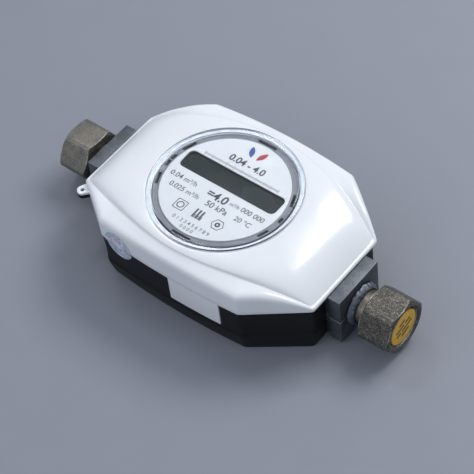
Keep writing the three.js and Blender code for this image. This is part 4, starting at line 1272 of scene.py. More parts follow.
def nut_tree():
    """A union nut: a chamfered hexagon with a threaded bore and a closed back."""
    graph, given, out = new_tree("Union nut", "GeometryNodeTree", [
        ("Start", "value", 0.099), ("Length", "value", 0.0206), ("Across flats", "value", 0.032),
        ("Worn corner", "value", 0.00055), ("Turn", "value", 0.5), ("Back hole", "value", 0.0109),
        ("Back wall", "value", 0.003), ("Bore", "value", 0.01205), ("Mouth", "value", 0.0139),
        ("Pitch", "value", 0.001814), ("Thread depth", "value", 0.00116), ("Side", "value", 1.0),
        ("Axis", "value", 0.02), ("Metal", "material", None)], [("Shape", "shape")])
    columns, before, thread, after = 144, 14, 112, 3
    rows = before + thread + after
    grid = graph.node("GeometryNodeMeshGrid", {
        "Size X": 1.0, "Size Y": 1.0, "Vertices X": columns + 1, "Vertices Y": rows + 1})
    index = graph.value(graph.node("GeometryNodeInputIndex").outputs[0])
    column = (index / (rows + 1) + 0.0001).do("FLOOR")
    row = (index - column * (rows + 1)).do("MODULO", rows)
    turn = column * (2 * math.pi / columns)
    apothem = graph.value(given["Across flats"]) * 0.5
    length_all = graph.value(given["Length"])
    from_corner = (turn - given["Turn"]).do("WRAP", math.pi / 6, -math.pi / 6).do("ABSOLUTE")
    flat = apothem / (math.pi / 6 - from_corner).do("COSINE")
    limit = apothem * (2 / math.sqrt(3)) - given["Worn corner"]
    hexagon = flat.do("SMOOTH_MIN", limit, 0.0005)
    face = apothem - 0.0002
    rise = hexagon - face
    cut = rise * 0.6
    mouth = graph.value(given["Mouth"])
    hole = graph.value(given["Back hole"])
    zero = rise * 0.0
    radii = [hole + 0.0003, face - 0.0005, face + 0.00002, face + rise * 0.8, face + rise * 0.97, hexagon,
             hexagon, hexagon, face + rise * 0.97, face + rise * 0.8, face + 0.00002, face - 0.0005,
             mouth + 0.00012, mouth - 0.00012]
    places = [zero, zero, zero + 0.00006, cut * 0.8, cut * 1.02, cut + 0.00035, length_all * 0.5,
              length_all - cut - 0.00035, length_all - cut * 1.02, length_all - cut * 0.8,
              length_all - 0.00006,
              length_all, length_all, length_all - 0.00014]
    first = length_all - 0.0006
    last = graph.value(given["Back wall"]) + 0.0005
    along = first + (last - first) * ((row - before) / (thread - 1))
    wave = (along / given["Pitch"] + turn / (2 * math.pi)).do("FRACT")
    ridge = ((wave - 0.5).do("ABSOLUTE") * 2.0 - 0.14) / 0.72
    ridge = ridge.do("MINIMUM", 1.0).do("MAXIMUM", 0.0)
    cone = mouth - (length_all - along) * 0.95
    groove = (ridge * given["Thread depth"] + given["Bore"]).do("SMOOTH_MAX", cone, 0.0002)
    row_before = row.do("MINIMUM", before - 1.0)
    row_after = (row - (before + thread)).do("MAXIMUM", 0.0)
    wall = graph.value(given["Back wall"])
    end_radius = picked(graph, row_after, [wall * 0.0 + given["Bore"], hole + 0.0, hole + 0.0])
    end_place = picked(graph, row_after, [wall + 0.0, wall + 0.0, zero + 0.0003])
    early = row.do("LESS_THAN", before - 0.5)
    late = row.do("GREATER_THAN", before + thread - 0.5)
    middle = 1.0 - early - late
    radius = picked(graph, row_before, radii) * early + groove * middle + end_radius * late
    x = picked(graph, row_before, places) * early + along * middle + end_place * late
    place = graph.node("ShaderNodeCombineXYZ", {
        "X": (x + given["Start"]) * given["Side"], "Y": radius * turn.do("SINE") * -1.0,
        "Z": radius * turn.do("COSINE") + given["Axis"]})
    moved = graph.node("GeometryNodeSetPosition", {"Geometry": grid.outputs["Mesh"],
                                                   "Position": place.outputs[0]})
    joined = graph.node("GeometryNodeMergeByDistance", {"Geometry": moved.outputs[0], "Distance": 0.000003})
    return painted_result(graph, out, joined.outputs[0], given["Metal"])


NUT_TURN = {"inlet": 28.8, "outlet": 35.7}      # degrees from the top to a corner of the nut


class GAS_METER_OT_nuts(bpy.types.Operator):
    """Build both union nuts with their chamfers and threads"""
    bl_idname = "gas_meter.nuts"
    bl_label = "Union Nuts"

    def execute(self, context):
        settings = context.scene.gas_meter.union
        tree = nut_tree()
        for port, side in PORTS.items():
            start, _ = port_span(port, "nut")
            nut = grown(f"{port}_union_nut", tree, {
                "Start": start * MM, "Length": settings.nut_length, "Across flats": settings.across_flats,
                "Worn corner": settings.worn_corner, "Turn": math.radians(NUT_TURN[port]),
                "Pitch": settings.pitch, "Thread depth": settings.thread_depth, "Side": float(side),
                "Axis": AXIS_Z * MM, "Metal": nut_steel(port)})
            finish_piece(nut, nut_steel(port), [f"{port}_nut"], body=f"{port}_union", sharp=50.0)
        return {"FINISHED"}


# ---------------------------------------------------------------- transport plugs

PLUG_RADIUS = 11.5
DASH_THICK = 1.5
PLUG_INK_DEPTH = 0.05               # the dashes' own thickness
PLUG_INK_SUNK = 0.01                # how far the dashes reach into the plug
PLUG_TILT = 14.6                     # degrees that the printed rows rise
PLUG_ROWS = ((5.2, (5.4,)), (1.9, (7.6, 5.0)), (-1.5, (4.0, 9.6)),
             (-5.0, (7.0,)))         # height of a row, and the lengths of its dashes


def dash_row(height, dashes, thick, gap=0.9):
    """Plan rectangles of one row of dashes, centred on the middle."""
    at = -(sum(dashes) + gap * (len(dashes) - 1)) / 2
    for wide in dashes:
        yield at, height - thick / 2, at + wide, height + thick / 2
        at += wide + gap


class GAS_METER_OT_plugs(bpy.types.Operator):
    """Build the yellow transport plugs with their printed rows"""
    bl_idname = "gas_meter.plugs"
    bl_label = "Transport Plugs"

    def execute(self, context):
        tint = context.scene.gas_meter.union.plug_tint
        for port, side in PORTS.items():
            start, end = port_span(port, "transport_plug")
            radius = PLUG_RADIUS
            plug = turned(f"{port}_plug_cap", rounded_profile([
                (0, end - 1.4), (radius - 1.6, end - 1.4), (radius - 1.8, start), (radius - 0.6, start),
                (radius, end - 1.2), (radius, end, 0.4), (0, end)], 0.2), axis="X", side=side, sides=128)
            finish_piece(plug, plain_plastic("yellow_plastic", tint, 0.45, 1200.0, 0.00003),
                         [f"{port}_transport_plug"], body=f"{port}_plug")
            marks = []
            for height, dashes in PLUG_ROWS:
                for x0, y0, x1, y1 in dash_row(height, dashes, DASH_THICK):
                    marks.append(slab("mark", rounded_plan(x0, y0, x1, y1, 0.25, 3), 0.0, PLUG_INK_DEPTH))
            printed = joined(f"{port}_plug_print", marks)
            upright = Matrix(((0, 0, side), (side, 0, 0), (0, 1, 0))).to_4x4()
            place = Matrix.Translation((side * (end - PLUG_INK_SUNK) * MM, 0, AXIS_Z * MM))
            spin = Matrix.Rotation(math.radians(PLUG_TILT) * side, 4, "X")
            printed.data.transform(place @ spin @ upright)
            finish_piece(printed, ink("plug_ink", (0.02, 0.013, 0.006)), [],
                         body=f"{port}_plug")
        return {"FINISHED"}


def joined(name, parts):
    """Several objects as one."""
    work = bmesh.new()
    for part in parts:
        work.from_mesh(part.data)
    mesh = bpy.data.meshes.new(name)
    work.to_mesh(mesh)
    work.free()
    for part in parts:
        bpy.data.objects.remove(part)
    made = bpy.data.objects.new(name, mesh)
    bpy.context.scene.collection.objects.link(made)
    return made


# ---------------------------------------------------------------- tamper seal

class GAS_METER_OT_seal(bpy.types.Operator):
    """Build the foil disc stuck across the joint of cover and base"""
    bl_idname = "gas_meter.seal"
    bl_label = "Tamper Seal"

    def execute(self, context):
        low, high = frame_box("tamper_seal")
        centre = (low + high) / 2
        radius = (high.z - low.z) / 2
        wall_inset = context.scene.gas_meter.base.wall_inset / MM
        columns, rows, thick = 96, 20, 0.12
        angle = np.linspace(0, 2 * math.pi, columns, endpoint=False)
        layers = []
        for back in (0.0, thick):
            for r in (np.linspace(0, 1, rows) if back == 0.0 else np.linspace(1, 0, rows)):
                reach = radius * r
                x = centre.x + reach * np.cos(angle)
                z = centre.z + reach * np.sin(angle)
                below = np.clip((SIDE_BOTTOM - z) / 2.2, 0, 1)
                sink = below ** 2 * (3 - 2 * below) * (wall_inset - 0.15)
                y = -(side_y(x) + 0.14 - sink + (thick if back == 0.0 else 0.0))
                layers.append(np.stack([x, y, z], 1))
        foil = grid_object("foil_disc", np.array(layers), wrap_rows=False)
        finish_piece(foil, seal_foil(), ["tamper_seal"], sharp=60.0)
        return {"FINISHED"}


# ---------------------------------------------------------------- fasteners

def screw_tree():
    """Screws on the points of a mesh: a chamfered head with a hexagon recess, and a threaded shank."""
    graph, given, out = new_tree("Screw", "GeometryNodeTree", [
        ("Points", "shape", None), ("Head radius", "value", 0.0036), ("Head height", "value", 0.0024),
        ("Shank radius", "value", 0.0016), ("Shank length", "value", 0.01), ("Pitch", "value", 0.001),
        ("Direction", "vector", (0.0, 0.0, 0.0)), ("Metal", "material", None)], [("Shape", "shape")])
    head_height = graph.value(given["Head height"])
    head_radius = graph.value(given["Head radius"])
    shank = graph.value(given["Shank length"])

    def lifted(shape, height):
        offset = graph.node("ShaderNodeCombineXYZ", {"Z": height})
        return graph.node("GeometryNodeTransform", {"Geometry": shape,
                                                    "Translation": offset.outputs[0]}).outputs[0]

    chamfer = head_height * 0.18
    bottom = graph.node("GeometryNodeMeshCone", {
        "Vertices": 40, "Radius Top": head_radius, "Radius Bottom": head_radius * 0.9, "Depth": chamfer})
    barrel = graph.node("GeometryNodeMeshCone", {
        "Vertices": 40, "Radius Top": head_radius, "Radius Bottom": head_radius,
        "Depth": head_height - chamfer})
    recess = graph.node("GeometryNodeMeshCylinder", {
        "Vertices": 6, "Radius": head_radius * 0.5, "Depth": head_height * 1.2})
    head = graph.node("GeometryNodeMeshBoolean", operation="UNION", solver="EXACT")
    graph.tree.links.new(lifted(bottom.outputs[0], 0.0), head.inputs[1])
    graph.tree.links.new(lifted(barrel.outputs[0], chamfer), head.inputs[1])
    sunk = graph.node("GeometryNodeMeshBoolean", operation="DIFFERENCE", solver="EXACT")
    graph.tree.links.new(head.outputs[0], sunk.inputs[0])
    graph.tree.links.new(lifted(recess.outputs[0], 0.0), sunk.inputs[1])
    core = graph.node("GeometryNodeMeshCone", {
        "Vertices": 24, "Radius Top": graph.value(given["Shank radius"]) * 0.55,
        "Radius Bottom": graph.value(given["Shank radius"]) * 0.82, "Depth": shank})
    turns = (shank * 0.8 / given["Pitch"]).do("FLOOR")
    helix = graph.node("GeometryNodeCurveSpiral", {
        "Resolution": 20, "Rotations": turns, "Start Radius": graph.value(given["Shank radius"]) * 0.8,
        "End Radius": graph.value(given["Shank radius"]) * 0.62, "Height": shank * 0.8})
    ridge = graph.node("GeometryNodeCurvePrimitiveCircle", {
        "Resolution": 4, "Radius": graph.value(given["Shank radius"]) * 0.2})
    thread = graph.node("GeometryNodeCurveToMesh", {
        "Curve": helix.outputs[0], "Profile Curve": ridge.outputs[0], "Fill Caps": True})
    screw = graph.node("GeometryNodeJoinGeometry")
    for shape in (sunk.outputs[0], lifted(core.outputs[0], head_height),
                  lifted(thread.outputs[0], head_height + shank * 0.16)):
        graph.tree.links.new(shape, screw.inputs[0])
    spread = graph.node("GeometryNodeInstanceOnPoints", {
        "Points": given["Points"], "Instance": screw.outputs[0], "Rotation": given["Direction"]})
    return painted_result(graph, out, spread.outputs[0], given["Metal"])


def on_points(name, tree, points, values):
    """A piece that a geometry tree makes on a list of points in millimetres."""
    made = raw_object(name, points, [])
    change = made.modifiers.new("shape", "NODES")
    change.node_group = tree
    sockets = {s.name: s.identifier for s in tree.interface.items_tree if s.in_out == "INPUT"}
    for label, value in values.items():
        change[sockets[label]] = value
    settle(made)
    tidy_mesh(made, 0.000003)
    return made


SCREWS = {       # head radius and height, shank radius, pitch, and 1 if the head is below
    "cover_screw": (3.6, 2.4, 1.6, 1.4, 1), "base_screw": (3.2, 1.3, 1.5, 1.1, 1),
    "body_bolt": (3.2, 3.2, 1.9, 0.8, -1), "board_screw": (2.6, 2.0, 1.2, 0.9, 1),
}


class GAS_METER_OT_screws(bpy.types.Operator):
    """Build the screws of the cover, the base, the flow body and the board"""
    bl_idname = "gas_meter.screws"
    bl_label = "Screws"

    def execute(self, context):
        tree = screw_tree()
        for kind, (head, height, shank, pitch, up) in SCREWS.items():
            nodes = [f"{kind}_{n}" for n in (1, 2, 3, 4)]
            boxes = [frame_box(node) for node in nodes]
            points = [((a.x + b.x) / 2, (a.y + b.y) / 2, a.z if up > 0 else b.z) for a, b in boxes]
            low, high = boxes[0]
            made = on_points(kind + "s", tree, points, {
                "Head radius": head * MM, "Head height": height * MM, "Shank radius": shank * MM,
                "Shank length": (high.z - low.z - height) * MM, "Pitch": pitch * MM,
                "Direction": (0.0 if up > 0 else math.pi, 0.0, 0.0), "Metal": screw_steel()})
            finish_piece(made, screw_steel(), nodes, sharp=40.0)
        return {"FINISHED"}


# ---------------------------------------------------------------- inside

def lead_tree():
    """An insulated lead along the points of a mesh."""
    graph, given, out = new_tree("Lead", "GeometryNodeTree", [
        ("Route", "shape", None), ("Radius", "value", 0.0008), ("Insulation", "material", None)],
        [("Shape", "shape")])
    curve = graph.node("GeometryNodeMeshToCurve", {"Mesh": given["Route"]})
    spline = graph.node("GeometryNodeCurveSplineType", {"Curve": curve.outputs[0]}, spline_type="CATMULL_ROM")
    even = graph.node("GeometryNodeResampleCurve", {"Curve": spline.outputs[0], "Count": 72})
    section = graph.node("GeometryNodeCurvePrimitiveCircle", {"Resolution": 16, "Radius": given["Radius"]})
    tube = graph.node("GeometryNodeCurveToMesh", {
        "Curve": even.outputs[0], "Profile Curve": section.outputs[0], "Fill Caps": True})
    return painted_result(graph, out, tube.outputs[0], given["Insulation"])


SENSOR_X, SENSOR_LENGTH, SENSOR_TILT, CHAMBER_HALF = 22.0, 14.0, math.pi / 4, 10.5
BATTERY_Y, BATTERY_Z = 34.0, 14.5
FREE_LEADS = {
    "battery_lead": (0.9, [(27.2, 34, 14.5), (30, 36, 17), (30, 38, 26), (26, 37, 38), (16, 30, 43),
                           (9, 25, 44.2),
                           (4, 22, 44.9)]),
    "probe_lead": (0.7, [(0, 0, 41), (0, 3, 42.8), (0, 9, 43.6), (0, 15, 44.4), (0, 18, 45.1)]),
}


def sensor_lead(side):
    """Route of a transducer's lead, up to the board."""
    end = SENSOR_LENGTH + 2.8
    x = SENSOR_X + end * math.sin(SENSOR_TILT)
    z = AXIS_Z + CHAMBER_HALF + end * math.cos(SENSOR_TILT)
    route = [(x, 0, z), (x + 1.6, -1, z + 1.2), (36, -8, 43.6), (32, -17, 42.6), (24, -23, 42.8),
             (18, -27, 44.2)]
    return [(side * a, b, c) for a, b, c in route]


def polyline(name, points):
    """An object that holds a line of points."""
    made = raw_object(name, points, [])
    mesh = bpy.data.meshes.new(name)
    scaled = [[c * MM for c in p] for p in points]
    mesh.from_pydata(scaled, [(i, i + 1) for i in range(len(points) - 1)], [])
    made.data = mesh
    return made


def tilted(obj, side):
    """Moves a piece turned about Z onto the axis of one transducer."""
    turn = Matrix.Rotation(side * SENSOR_TILT, 4, "Y")
    place = Matrix.Translation((side * SENSOR_X * MM, 0, (AXIS_Z + CHAMBER_HALF) * MM))
    obj.data.transform(place @ turn)
    return obj


class GAS_METER_OT_measuring(bpy.types.Operator):
    """Build the transducers, their rings, the flow straightener and the temperature probe"""
    bl_idname = "gas_meter.measuring"
    bl_label = "Measuring Parts"

    def execute(self, context):
        grey = FINISHES["grey_plastic"]
        for port, side in PORTS.items():
            body = turned(f"{port}_sensor", rounded_profile([
                (0, 0), (6.1, 0), (6.1, 3.8), (6.6, 3.8), (6.6, 5.8), (6.1, 6.0), (7.5, 6.0), (7.5, 14.0),
                (2.5, 14.0),
                (2.5, 15.5), (0, 15.5)], 0.3), sides=96)
            finish_piece(tilted(body, side), screw_steel(), [f"{port}_transducer"])
            seal = turned(f"{port}_o_ring", rounded_profile([
                (6.7, 3.9), (7.6, 3.9), (7.6, 5.7), (6.7, 5.7)], 0.42, 6), sides=96)
            finish_piece(tilted(seal, side), black_rubber(),
                         [f"{port}_transducer_o_ring"])
            retainer = turned(f"{port}_retainer", rounded_profile([
                (4.0, 14.3), (7.6, 14.3), (7.6, 15.8), (4.0, 15.8)], 0.25), sides=96)
            for turn in (0.03, math.pi + 0.03):
                hole = turned("hole", [(0, 13), (0.6, 13), (0.6, 17), (0, 17)],
                              (5.8 * math.cos(turn), 5.8 * math.sin(turn)), sides=24)
                combine(retainer, hole, "DIFFERENCE")
            finish_piece(tilted(retainer, side), brass(), [f"{port}_transducer_retainer"])
        low, high = frame_box("flow_straightener")
        disc = turned("straightener", rounded_profile([
            (0, low.x), (high.y, low.x), (high.y, high.x), (0, high.x)], 0.3), axis="X", sides=96)
        for i in range(7):
            turn = i * math.pi / 3
            offset = (0.0, 0.0) if i == 6 else (6 * math.cos(turn), 6 * math.sin(turn))
            hole = turned("hole", [(0, low.x - 2), (2.5, low.x - 2), (2.5, high.x + 2), (0, high.x + 2)],
                          offset, axis="X", sides=32)
            combine(disc, hole, "DIFFERENCE")
        finish_piece(disc, grey, ["flow_straightener"])
        probe = turned("probe", rounded_profile([
            (0, 27), (2.1, 27.8), (2.1, 36.3), (4.2, 36.3), (4.2, 38.4), (1.5, 38.4), (1.5, 40), (0, 40)],
                                                0.25),
            sides=48)
        finish_piece(probe, brass(), ["temperature_probe"])
        return {"FINISHED"}


def part_tree():
    """Small electronic parts of random size, set out under the board."""
    graph, given, out = new_tree("Board parts", "GeometryNodeTree", [
        ("Width", "value", 0.07), ("Depth", "value", 0.036), ("Surface", "value", 0.0483),
        ("Seed", "whole", 4), ("Casing", "material", None)], [("Shape", "shape")])
    grid = graph.node("GeometryNodeMeshGrid", {
        "Size X": given["Width"], "Size Y": given["Depth"], "Vertices X": 13, "Vertices Y": 7})
    keep = graph.node("FunctionNodeRandomValue", {"Seed": given["Seed"]}, data_type="BOOLEAN")
    keep.inputs["Probability"].default_value = 0.55
    thinned = graph.node("GeometryNodeDeleteGeometry", {
        "Geometry": grid.outputs["Mesh"], "Selection": keep.outputs[3]})
    size = graph.node("FunctionNodeRandomValue", {"Seed": given["Seed"]}, data_type="FLOAT_VECTOR")
    size.inputs[0].default_value = (0.0012, 0.0008, 0.0006)
    size.inputs[1].default_value = (0.0038, 0.0036, 0.0013)
    brick = graph.node("GeometryNodeMeshCube", {"Size": (1.0, 1.0, 1.0)})
    parts = graph.node("GeometryNodeInstanceOnPoints", {
        "Points": thinned.outputs[0], "Instance": brick.outputs[0], "Scale": size.outputs[0]})
    real = graph.node("GeometryNodeRealizeInstances", {"Geometry": parts.outputs[0]})
    lift = graph.node("ShaderNodeCombineXYZ", {"Z": graph.value(given["Surface"]) - 0.0002})
    lowered = graph.node("GeometryNodeTransform", {
        "Geometry": real.outputs[0], "Translation": lift.outputs[0]})
    painted = graph.node("GeometryNodeSetMaterial",
                         {"Geometry": lowered.outputs[0], "Material": given["Casing"]})
    graph.feed(out["Shape"], painted.outputs[0])
    return graph.tree


class GAS_METER_OT_electronics(bpy.types.Operator):
    """Build the board with its parts, the battery, the holders and the leads"""
    bl_idname = "gas_meter.electronics"
    bl_label = "Electronics"

    def execute(self, context):
        grey = FINISHES["grey_plastic"]
        board = refined("main_board", 0.2)
        board.name = "board"
        finish_piece(board, circuit_board(), ["main_board"])
        casing = plain_plastic("chip_casing", (0.02, 0.02, 0.022), 0.5, 2400.0, 0.00002)
        chips = grown("board_parts", part_tree(), {"Casing": casing, "Seed": 4})
        bevel(chips, 0.12, 1)
        finish_piece(chips, casing, [])
        for name, rounding in (("lcd_holder", 0.4), ("battery_cradle", 0.5)):
            finish_piece(refined(name, rounding, 3), grey, [name])
        battery = turned("cell", rounded_profile([
            (0, -26.2), (3.0, -26.2), (3.0, -25.0), (8.5, -25.0), (8.5, -24.0), (8.35, -23.8), (8.35, -23.4),
            (8.5, -23.2), (8.5, 25.0), (3.0, 25.0), (3.0, 26.2), (0, 26.2)], 0.4),
            (BATTERY_Y, BATTERY_Z - AXIS_Z), axis="X", sides=96)
        sleeve = plain_plastic("blue_sleeve", (0.03, 0.09, 0.32), 0.3, 700.0, 0.00002)
        finish_piece(battery, sleeve, ["battery"])
        strip = np.array([ring(3.9, 36.3), ring(4.7, 36.2), ring(5.5, 36.3), ring(5.5, 37.7), ring(4.7, 37.9),
                          ring(3.9, 37.7)])
        seal = grid_object("cover_seal", soften(strip, 1, corner_weight(strip.shape[1]), 10))
        finish_piece(seal, black_rubber(), ["housing_gasket"], sharp=60.0)
        tree = lead_tree()
        sheath = soft("lead_insulation", (0.32, 0.02, 0.018), 0.45, 1500.0, 0.00001)
        leads = dict(FREE_LEADS)
        for port, side in PORTS.items():
            leads[f"{port}_transducer_lead"] = (0.8, sensor_lead(side))
        for name, (radius, route) in leads.items():
            line = polyline(name + "_wire", route)
            change = line.modifiers.new("shape", "NODES")
            change.node_group = tree
            sockets = {s.name: s.identifier for s in tree.interface.items_tree if s.in_out == "INPUT"}
            change[sockets["Radius"]] = radius * MM
            change[sockets["Insulation"]] = sheath
            settle(line)
            tidy_mesh(line)
            finish_piece(line, sheath, [name], sharp=60.0)
        return {"FINISHED"}


# ---------------------------------------------------------------- dial print

INK_LIFT = 0.02                      # the print stands this far over the dial, to show as a layer
INK_Z = DIAL_HIGH.z + INK_LIFT
INK_HALF = 0.01                      # half the thickness of the ink
LINES = (        # figures, their width, their place along and across the dial, and how bold
    ("0.04 m³/h", 19.0, -24.4, -6.9, 0.07), ("=4.0", 14.0, 0.6, -7.2, 0.22), ("m³/h", 6.4, 12.6, -6.9, 0.08),
    ("000 000", 16.0, 25.2, -6.6, 0.08), ("0.025 m³/h", 21.0, -18.8, -13.7, 0.08),
    ("50 kPa", 15.0, 5.0, -13.8, 0.08), ("20 °C", 11.0, 23.5, -13.6, 0.08),
    ("0 1 2 3 4 5 6 7 8 9", 26.0, 0.6, -31.6, 0.04), ("0 0 0 0", 9.0, 0.2, -35.2, 0.03),
    ("0.04 - 4.0", 25.0, -0.4, 21.2, 0.2),
)
MARK_Y = -23.3                       # row of plain marks
SPOTS = ((-4.2, 30.4, 24.0), (3.2, 30.4, -24.0))     # two coloured leaves: place and lean in degrees


def flat_copy(curve):
    """The mesh of a curve at the origin, as an object."""
    made = bpy.data.objects.new("figures", curve)
    bpy.context.scene.collection.objects.link(made)
    mesh = evaluated_mesh(made)
    bpy.data.objects.remove(made)
    plain = bpy.data.objects.new("figures", mesh)
    bpy.context.scene.collection.objects.link(plain)
    return plain


def lettering(text, wide, x, y, bold):
    """A line of generic figures of one width, centred on a place of the dial."""
    curve = bpy.data.curves.new("figures", "FONT")
    curve.body = text
    curve.size = 4.0 * MM
    curve.extrude = 0.01 * MM
    curve.offset = bold * 0.5 * MM
    plain = flat_copy(curve)
    points = np.array([tuple(v.co) for v in plain.data.vertices])
    low, high = points.min(0), points.max(0)
    scale = wide * MM / (high[0] - low[0])
    centre = Vector(((low + high) / 2).tolist())
    place = Matrix.Translation((x * MM, y * MM, INK_Z * MM))
    plain.data.transform(place @ Matrix.Diagonal((scale, scale, 1, 1)) @ Matrix.Translation(-centre))
    tidy_mesh(plain, 0.000001)
    return plain


def leaf(x, y, lean):
    """A plain pointed leaf, as a thin layer of print."""
    plan = []
    for side in (1, -1):
        for t in np.linspace(0, 1, 16, endpoint=False):
            along = (1 - 2 * t) * side
            plan.append((1.7 * side * math.sin(math.pi * t) ** 0.8, 4.2 * along))
    spot = slab("leaf", plan, INK_Z - INK_HALF, INK_Z + INK_HALF)
    spot.data.transform(Matrix.Translation((x * MM, y * MM, 0)) @ Matrix.Rotation(math.radians(lean), 4, "Z"))
    return spot


def outline_mark(plan, x, y, width):
    """A closed thin line along a plan, centred on a place of the dial."""
    points = np.array(plan)
    middle = (points.max(0) + points.min(0)) / 2
    inner = middle + (points - middle) * (1 - width / np.abs(points - middle).max(0))
    z = INK_Z
    rows = [[(px + x, py + y, h) for px, py in line]
            for line, h in ((points, z - 0.01), (points, z + 0.01), (inner, z + 0.01), (inner, z - 0.01))]
    return grid_object("outline", np.array(rows))


def scale_tree():
    """Fine graduations along a line of the dial, with a longer one in every five."""
    graph, given, out = new_tree("Graduations", "GeometryNodeTree", [
        ("Span", "value", 0.053), ("Row", "value", 0.0152), ("Marks", "whole", 51),
        ("Height", "value", 0.0567),
        ("Ink", "material", None)], [("Shape", "shape")])
    index = graph.value(graph.node("GeometryNodeInputIndex").outputs[0])
    last = graph.value(given["Marks"]) - 1.0
    place = graph.node("ShaderNodeCombineXYZ", {
        "X": (index / last - 0.5) * given["Span"], "Y": given["Row"], "Z": given["Height"]})
    line = graph.node("GeometryNodeMeshLine", {"Count": given["Marks"]})
    row = graph.node("GeometryNodeSetPosition", {"Geometry": line.outputs[0], "Position": place.outputs[0]})
    long = (index.do("MODULO", 5.0)).do("LESS_THAN", 0.5)
    size = graph.node("ShaderNodeCombineXYZ", {"X": 0.00045, "Y": long * 0.0009 + 0.0014, "Z": 0.00002})
    brick = graph.node("GeometryNodeMeshCube", {"Size": (1.0, 1.0, 1.0)})
    marks = graph.node("GeometryNodeInstanceOnPoints", {
        "Points": row.outputs[0], "Instance": brick.outputs[0], "Scale": size.outputs[0]})
    return painted_result(graph, out, marks.outputs[0], given["Ink"])


def circle_plan(radius, sides):
    """A regular plan outline."""
    turns = np.linspace(0, 2 * math.pi, sides, endpoint=False)
    return [(radius * math.cos(a), radius * math.sin(a)) for a in turns]


LEFT_MARK, RIGHT_MARK = -13.7, 13.1  # middles of the outer marks under the figures
BAR_PLACES = (-3.6, -1.3, 1.0)       # left edges of the bars between them


class GAS_METER_OT_print(bpy.types.Operator):
    """Print generic figures, plain marks and graduations on the dial"""
    bl_idname = "gas_meter.dial_print"
    bl_label = "Dial Print"

    def execute(self, context):
        black = ink("dial_ink", context.scene.gas_meter.register.ink)
        parts = [lettering(*line) for line in LINES]
        square = rounded_plan(-3.7, -3.7, 3.7, 3.7, 1.0)
        parts += [outline_mark(square, LEFT_MARK, MARK_Y, 0.5),
                  outline_mark(circle_plan(2.4, 40), LEFT_MARK, MARK_Y, 0.7),
                  outline_mark(circle_plan(4.1, 6), RIGHT_MARK, MARK_Y, 0.5),
                  outline_mark(circle_plan(1.7, 32), RIGHT_MARK, MARK_Y, 1.1)]
        low, high = INK_Z - INK_HALF, INK_Z + INK_HALF
        for x in BAR_PLACES:
            parts.append(slab("bar", rounded_plan(x, MARK_Y - 3.4, x + 1.2, MARK_Y + 3.4, 0.3, 3), low, high))
            parts.append(slab("bar", rounded_plan(x + 1.3, MARK_Y - 3.4, x + 1.9, MARK_Y - 0.6, 0.2, 3), low,
                              high))
        finish_piece(joined("dial_figures", parts), black, [])
        tints = (("blue_ink", (0.01, 0.025, 0.16)), ("red_ink", (0.22, 0.008, 0.01)))
        for (x, y, lean), (name, tint) in zip(SPOTS, tints):
            spot = leaf(x, y, lean)
            spot.name = name + "_leaf"
            finish_piece(spot, ink(name, tint), [])
        marks = grown("dial_graduations", scale_tree(), {
            "Height": INK_Z * MM, "Ink": black})
        finish_piece(marks, black, [])
        return {"FINISHED"}


# ---------------------------------------------------------------- stage

def area_light(name, place, size, power, tint):
    """A soft square light that looks at the meter."""
    data = bpy.data.lights.new(name, "AREA")
    data.shape = "RECTANGLE"
    data.size, data.size_y = size
    data.energy = power
    data.color = tint
    made = bpy.data.objects.new(name, data)
    bpy.context.scene.collection.objects.link(made)
    made.location = place
    made.rotation_euler = (Vector((0, 0, 0.03)) - Vector(place)).to_track_quat("-Z", "Y").to_euler()
    return made


CAMERA_PLACE = Vector((489.1, -491.3, 857.6)) * MM
SENSOR_WIDTH = 36.0                  # millimetres
FLOOR_HALF = 1500.0                  # half the floor's side, in millimetres
SKY_TINT = (0.87, 0.92, 1.0, 1.0)
LIGHTS = {        # place, sides and colour of each light, in metres
    "key": ((0.22, 0.74, 0.95), (0.6, 0.45), (1.0, 0.985, 0.96)),
    "strip": ((-0.54, 0.25, 1.06), (0.32, 0.1), (1.0, 1.0, 1.0)),
    "fill": ((-0.35, -0.9, 0.7), (0.9, 0.9), (0.93, 0.96, 1.0)),
}
STRIP_SHARE = 0.12                   # power of the strip light, as a share of the key light's


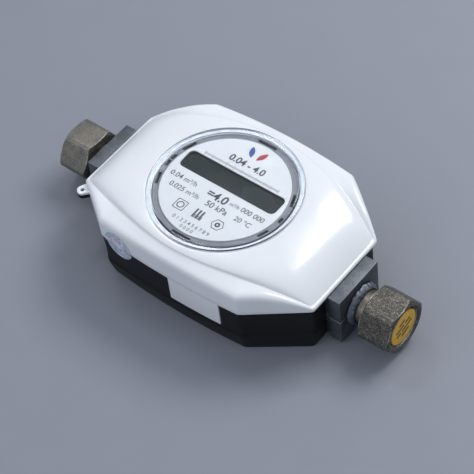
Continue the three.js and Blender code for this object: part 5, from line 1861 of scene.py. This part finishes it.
class GAS_METER_OT_stage(bpy.types.Operator):
    """Set the pale floor, the soft lights and the camera"""
    bl_idname = "gas_meter.stage"
    bl_label = "Stage"

    def execute(self, context):
        stage = context.scene.gas_meter.stage
        half = FLOOR_HALF
        floor = raw_object("floor", [(-half, -half, 0), (half, -half, 0), (half, half, 0), (-half, half, 0)],
                           [(0, 1, 2, 3)])
        floor.data.materials.append(floor_paint())
        powers = {"key": stage.key_power, "strip": stage.key_power * STRIP_SHARE, "fill": stage.fill_power}
        for name, (place, size, tint) in LIGHTS.items():
            area_light(name, place, size, powers[name], tint)
        world = bpy.data.worlds.new("studio")
        world.use_nodes = True
        background = world.node_tree.nodes["Background"]
        background.inputs["Color"].default_value = SKY_TINT
        background.inputs["Strength"].default_value = stage.sky
        context.scene.world = world
        context.scene.view_settings.view_transform = "Standard"
        az, el, roll = stage.azimuth, stage.elevation, stage.roll
        back = Vector((math.sin(az) * math.cos(el), -math.cos(az) * math.cos(el), math.sin(el)))
        right = Vector((math.cos(az), math.sin(az), 0))
        up = back.cross(right)
        turned_right = math.cos(roll) * right + math.sin(roll) * up
        turned_up = -math.sin(roll) * right + math.cos(roll) * up
        data = bpy.data.cameras.new("camera")
        data.lens = stage.lens
        data.sensor_width = SENSOR_WIDTH
        data.clip_start, data.clip_end = 0.01, 20.0
        camera = bpy.data.objects.new("camera", data)
        context.scene.collection.objects.link(camera)
        axes = Matrix((turned_right, turned_up, back)).transposed().to_4x4()
        camera.matrix_world = Matrix.Translation(CAMERA_PLACE) @ axes
        context.scene.camera = camera
        return {"FINISHED"}



# ---------------------------------------------------------------- add-on

STEPS = (GAS_METER_OT_cover, GAS_METER_OT_base, GAS_METER_OT_register, GAS_METER_OT_print,
         GAS_METER_OT_flow_body, GAS_METER_OT_pipes,
         GAS_METER_OT_nuts, GAS_METER_OT_plugs, GAS_METER_OT_seal, GAS_METER_OT_screws,
         GAS_METER_OT_measuring,
         GAS_METER_OT_electronics, GAS_METER_OT_stage)


class GAS_METER_PT_panel(bpy.types.Panel):
    """The gas meter's settings and steps"""
    bl_idname = "GAS_METER_PT_panel"
    bl_label = "Gas Meter"
    bl_space_type = "VIEW_3D"
    bl_region_type = "UI"
    bl_category = "Gas Meter"

    def draw(self, context):
        settings = context.scene.gas_meter
        for group in (settings.cover, settings.base, settings.register, settings.union, settings.stage):
            box = self.layout.box()
            for name in group.__annotations__:
                box.prop(group, name)
        for step in STEPS:
            self.layout.operator(step.bl_idname, text=step.bl_label)


CLASSES = (CoverSettings, BaseSettings, RegisterSettings, UnionSettings, StageSettings, MeterSettings,
           *STEPS, GAS_METER_PT_panel)


def register():
    """Makes the settings, steps and panel known."""
    for cls in CLASSES:
        bpy.utils.register_class(cls)
    bpy.types.Scene.gas_meter = bpy.props.PointerProperty(type=MeterSettings)


def unregister():
    """Takes them away again."""
    del bpy.types.Scene.gas_meter
    for cls in reversed(CLASSES):
        bpy.utils.unregister_class(cls)


def main():
    """Builds the whole meter and its stage."""
    register()
    for step in STEPS:
        family, name = step.bl_idname.split(".")
        getattr(getattr(bpy.ops, family), name)()


if __name__ == "__main__":
    main()
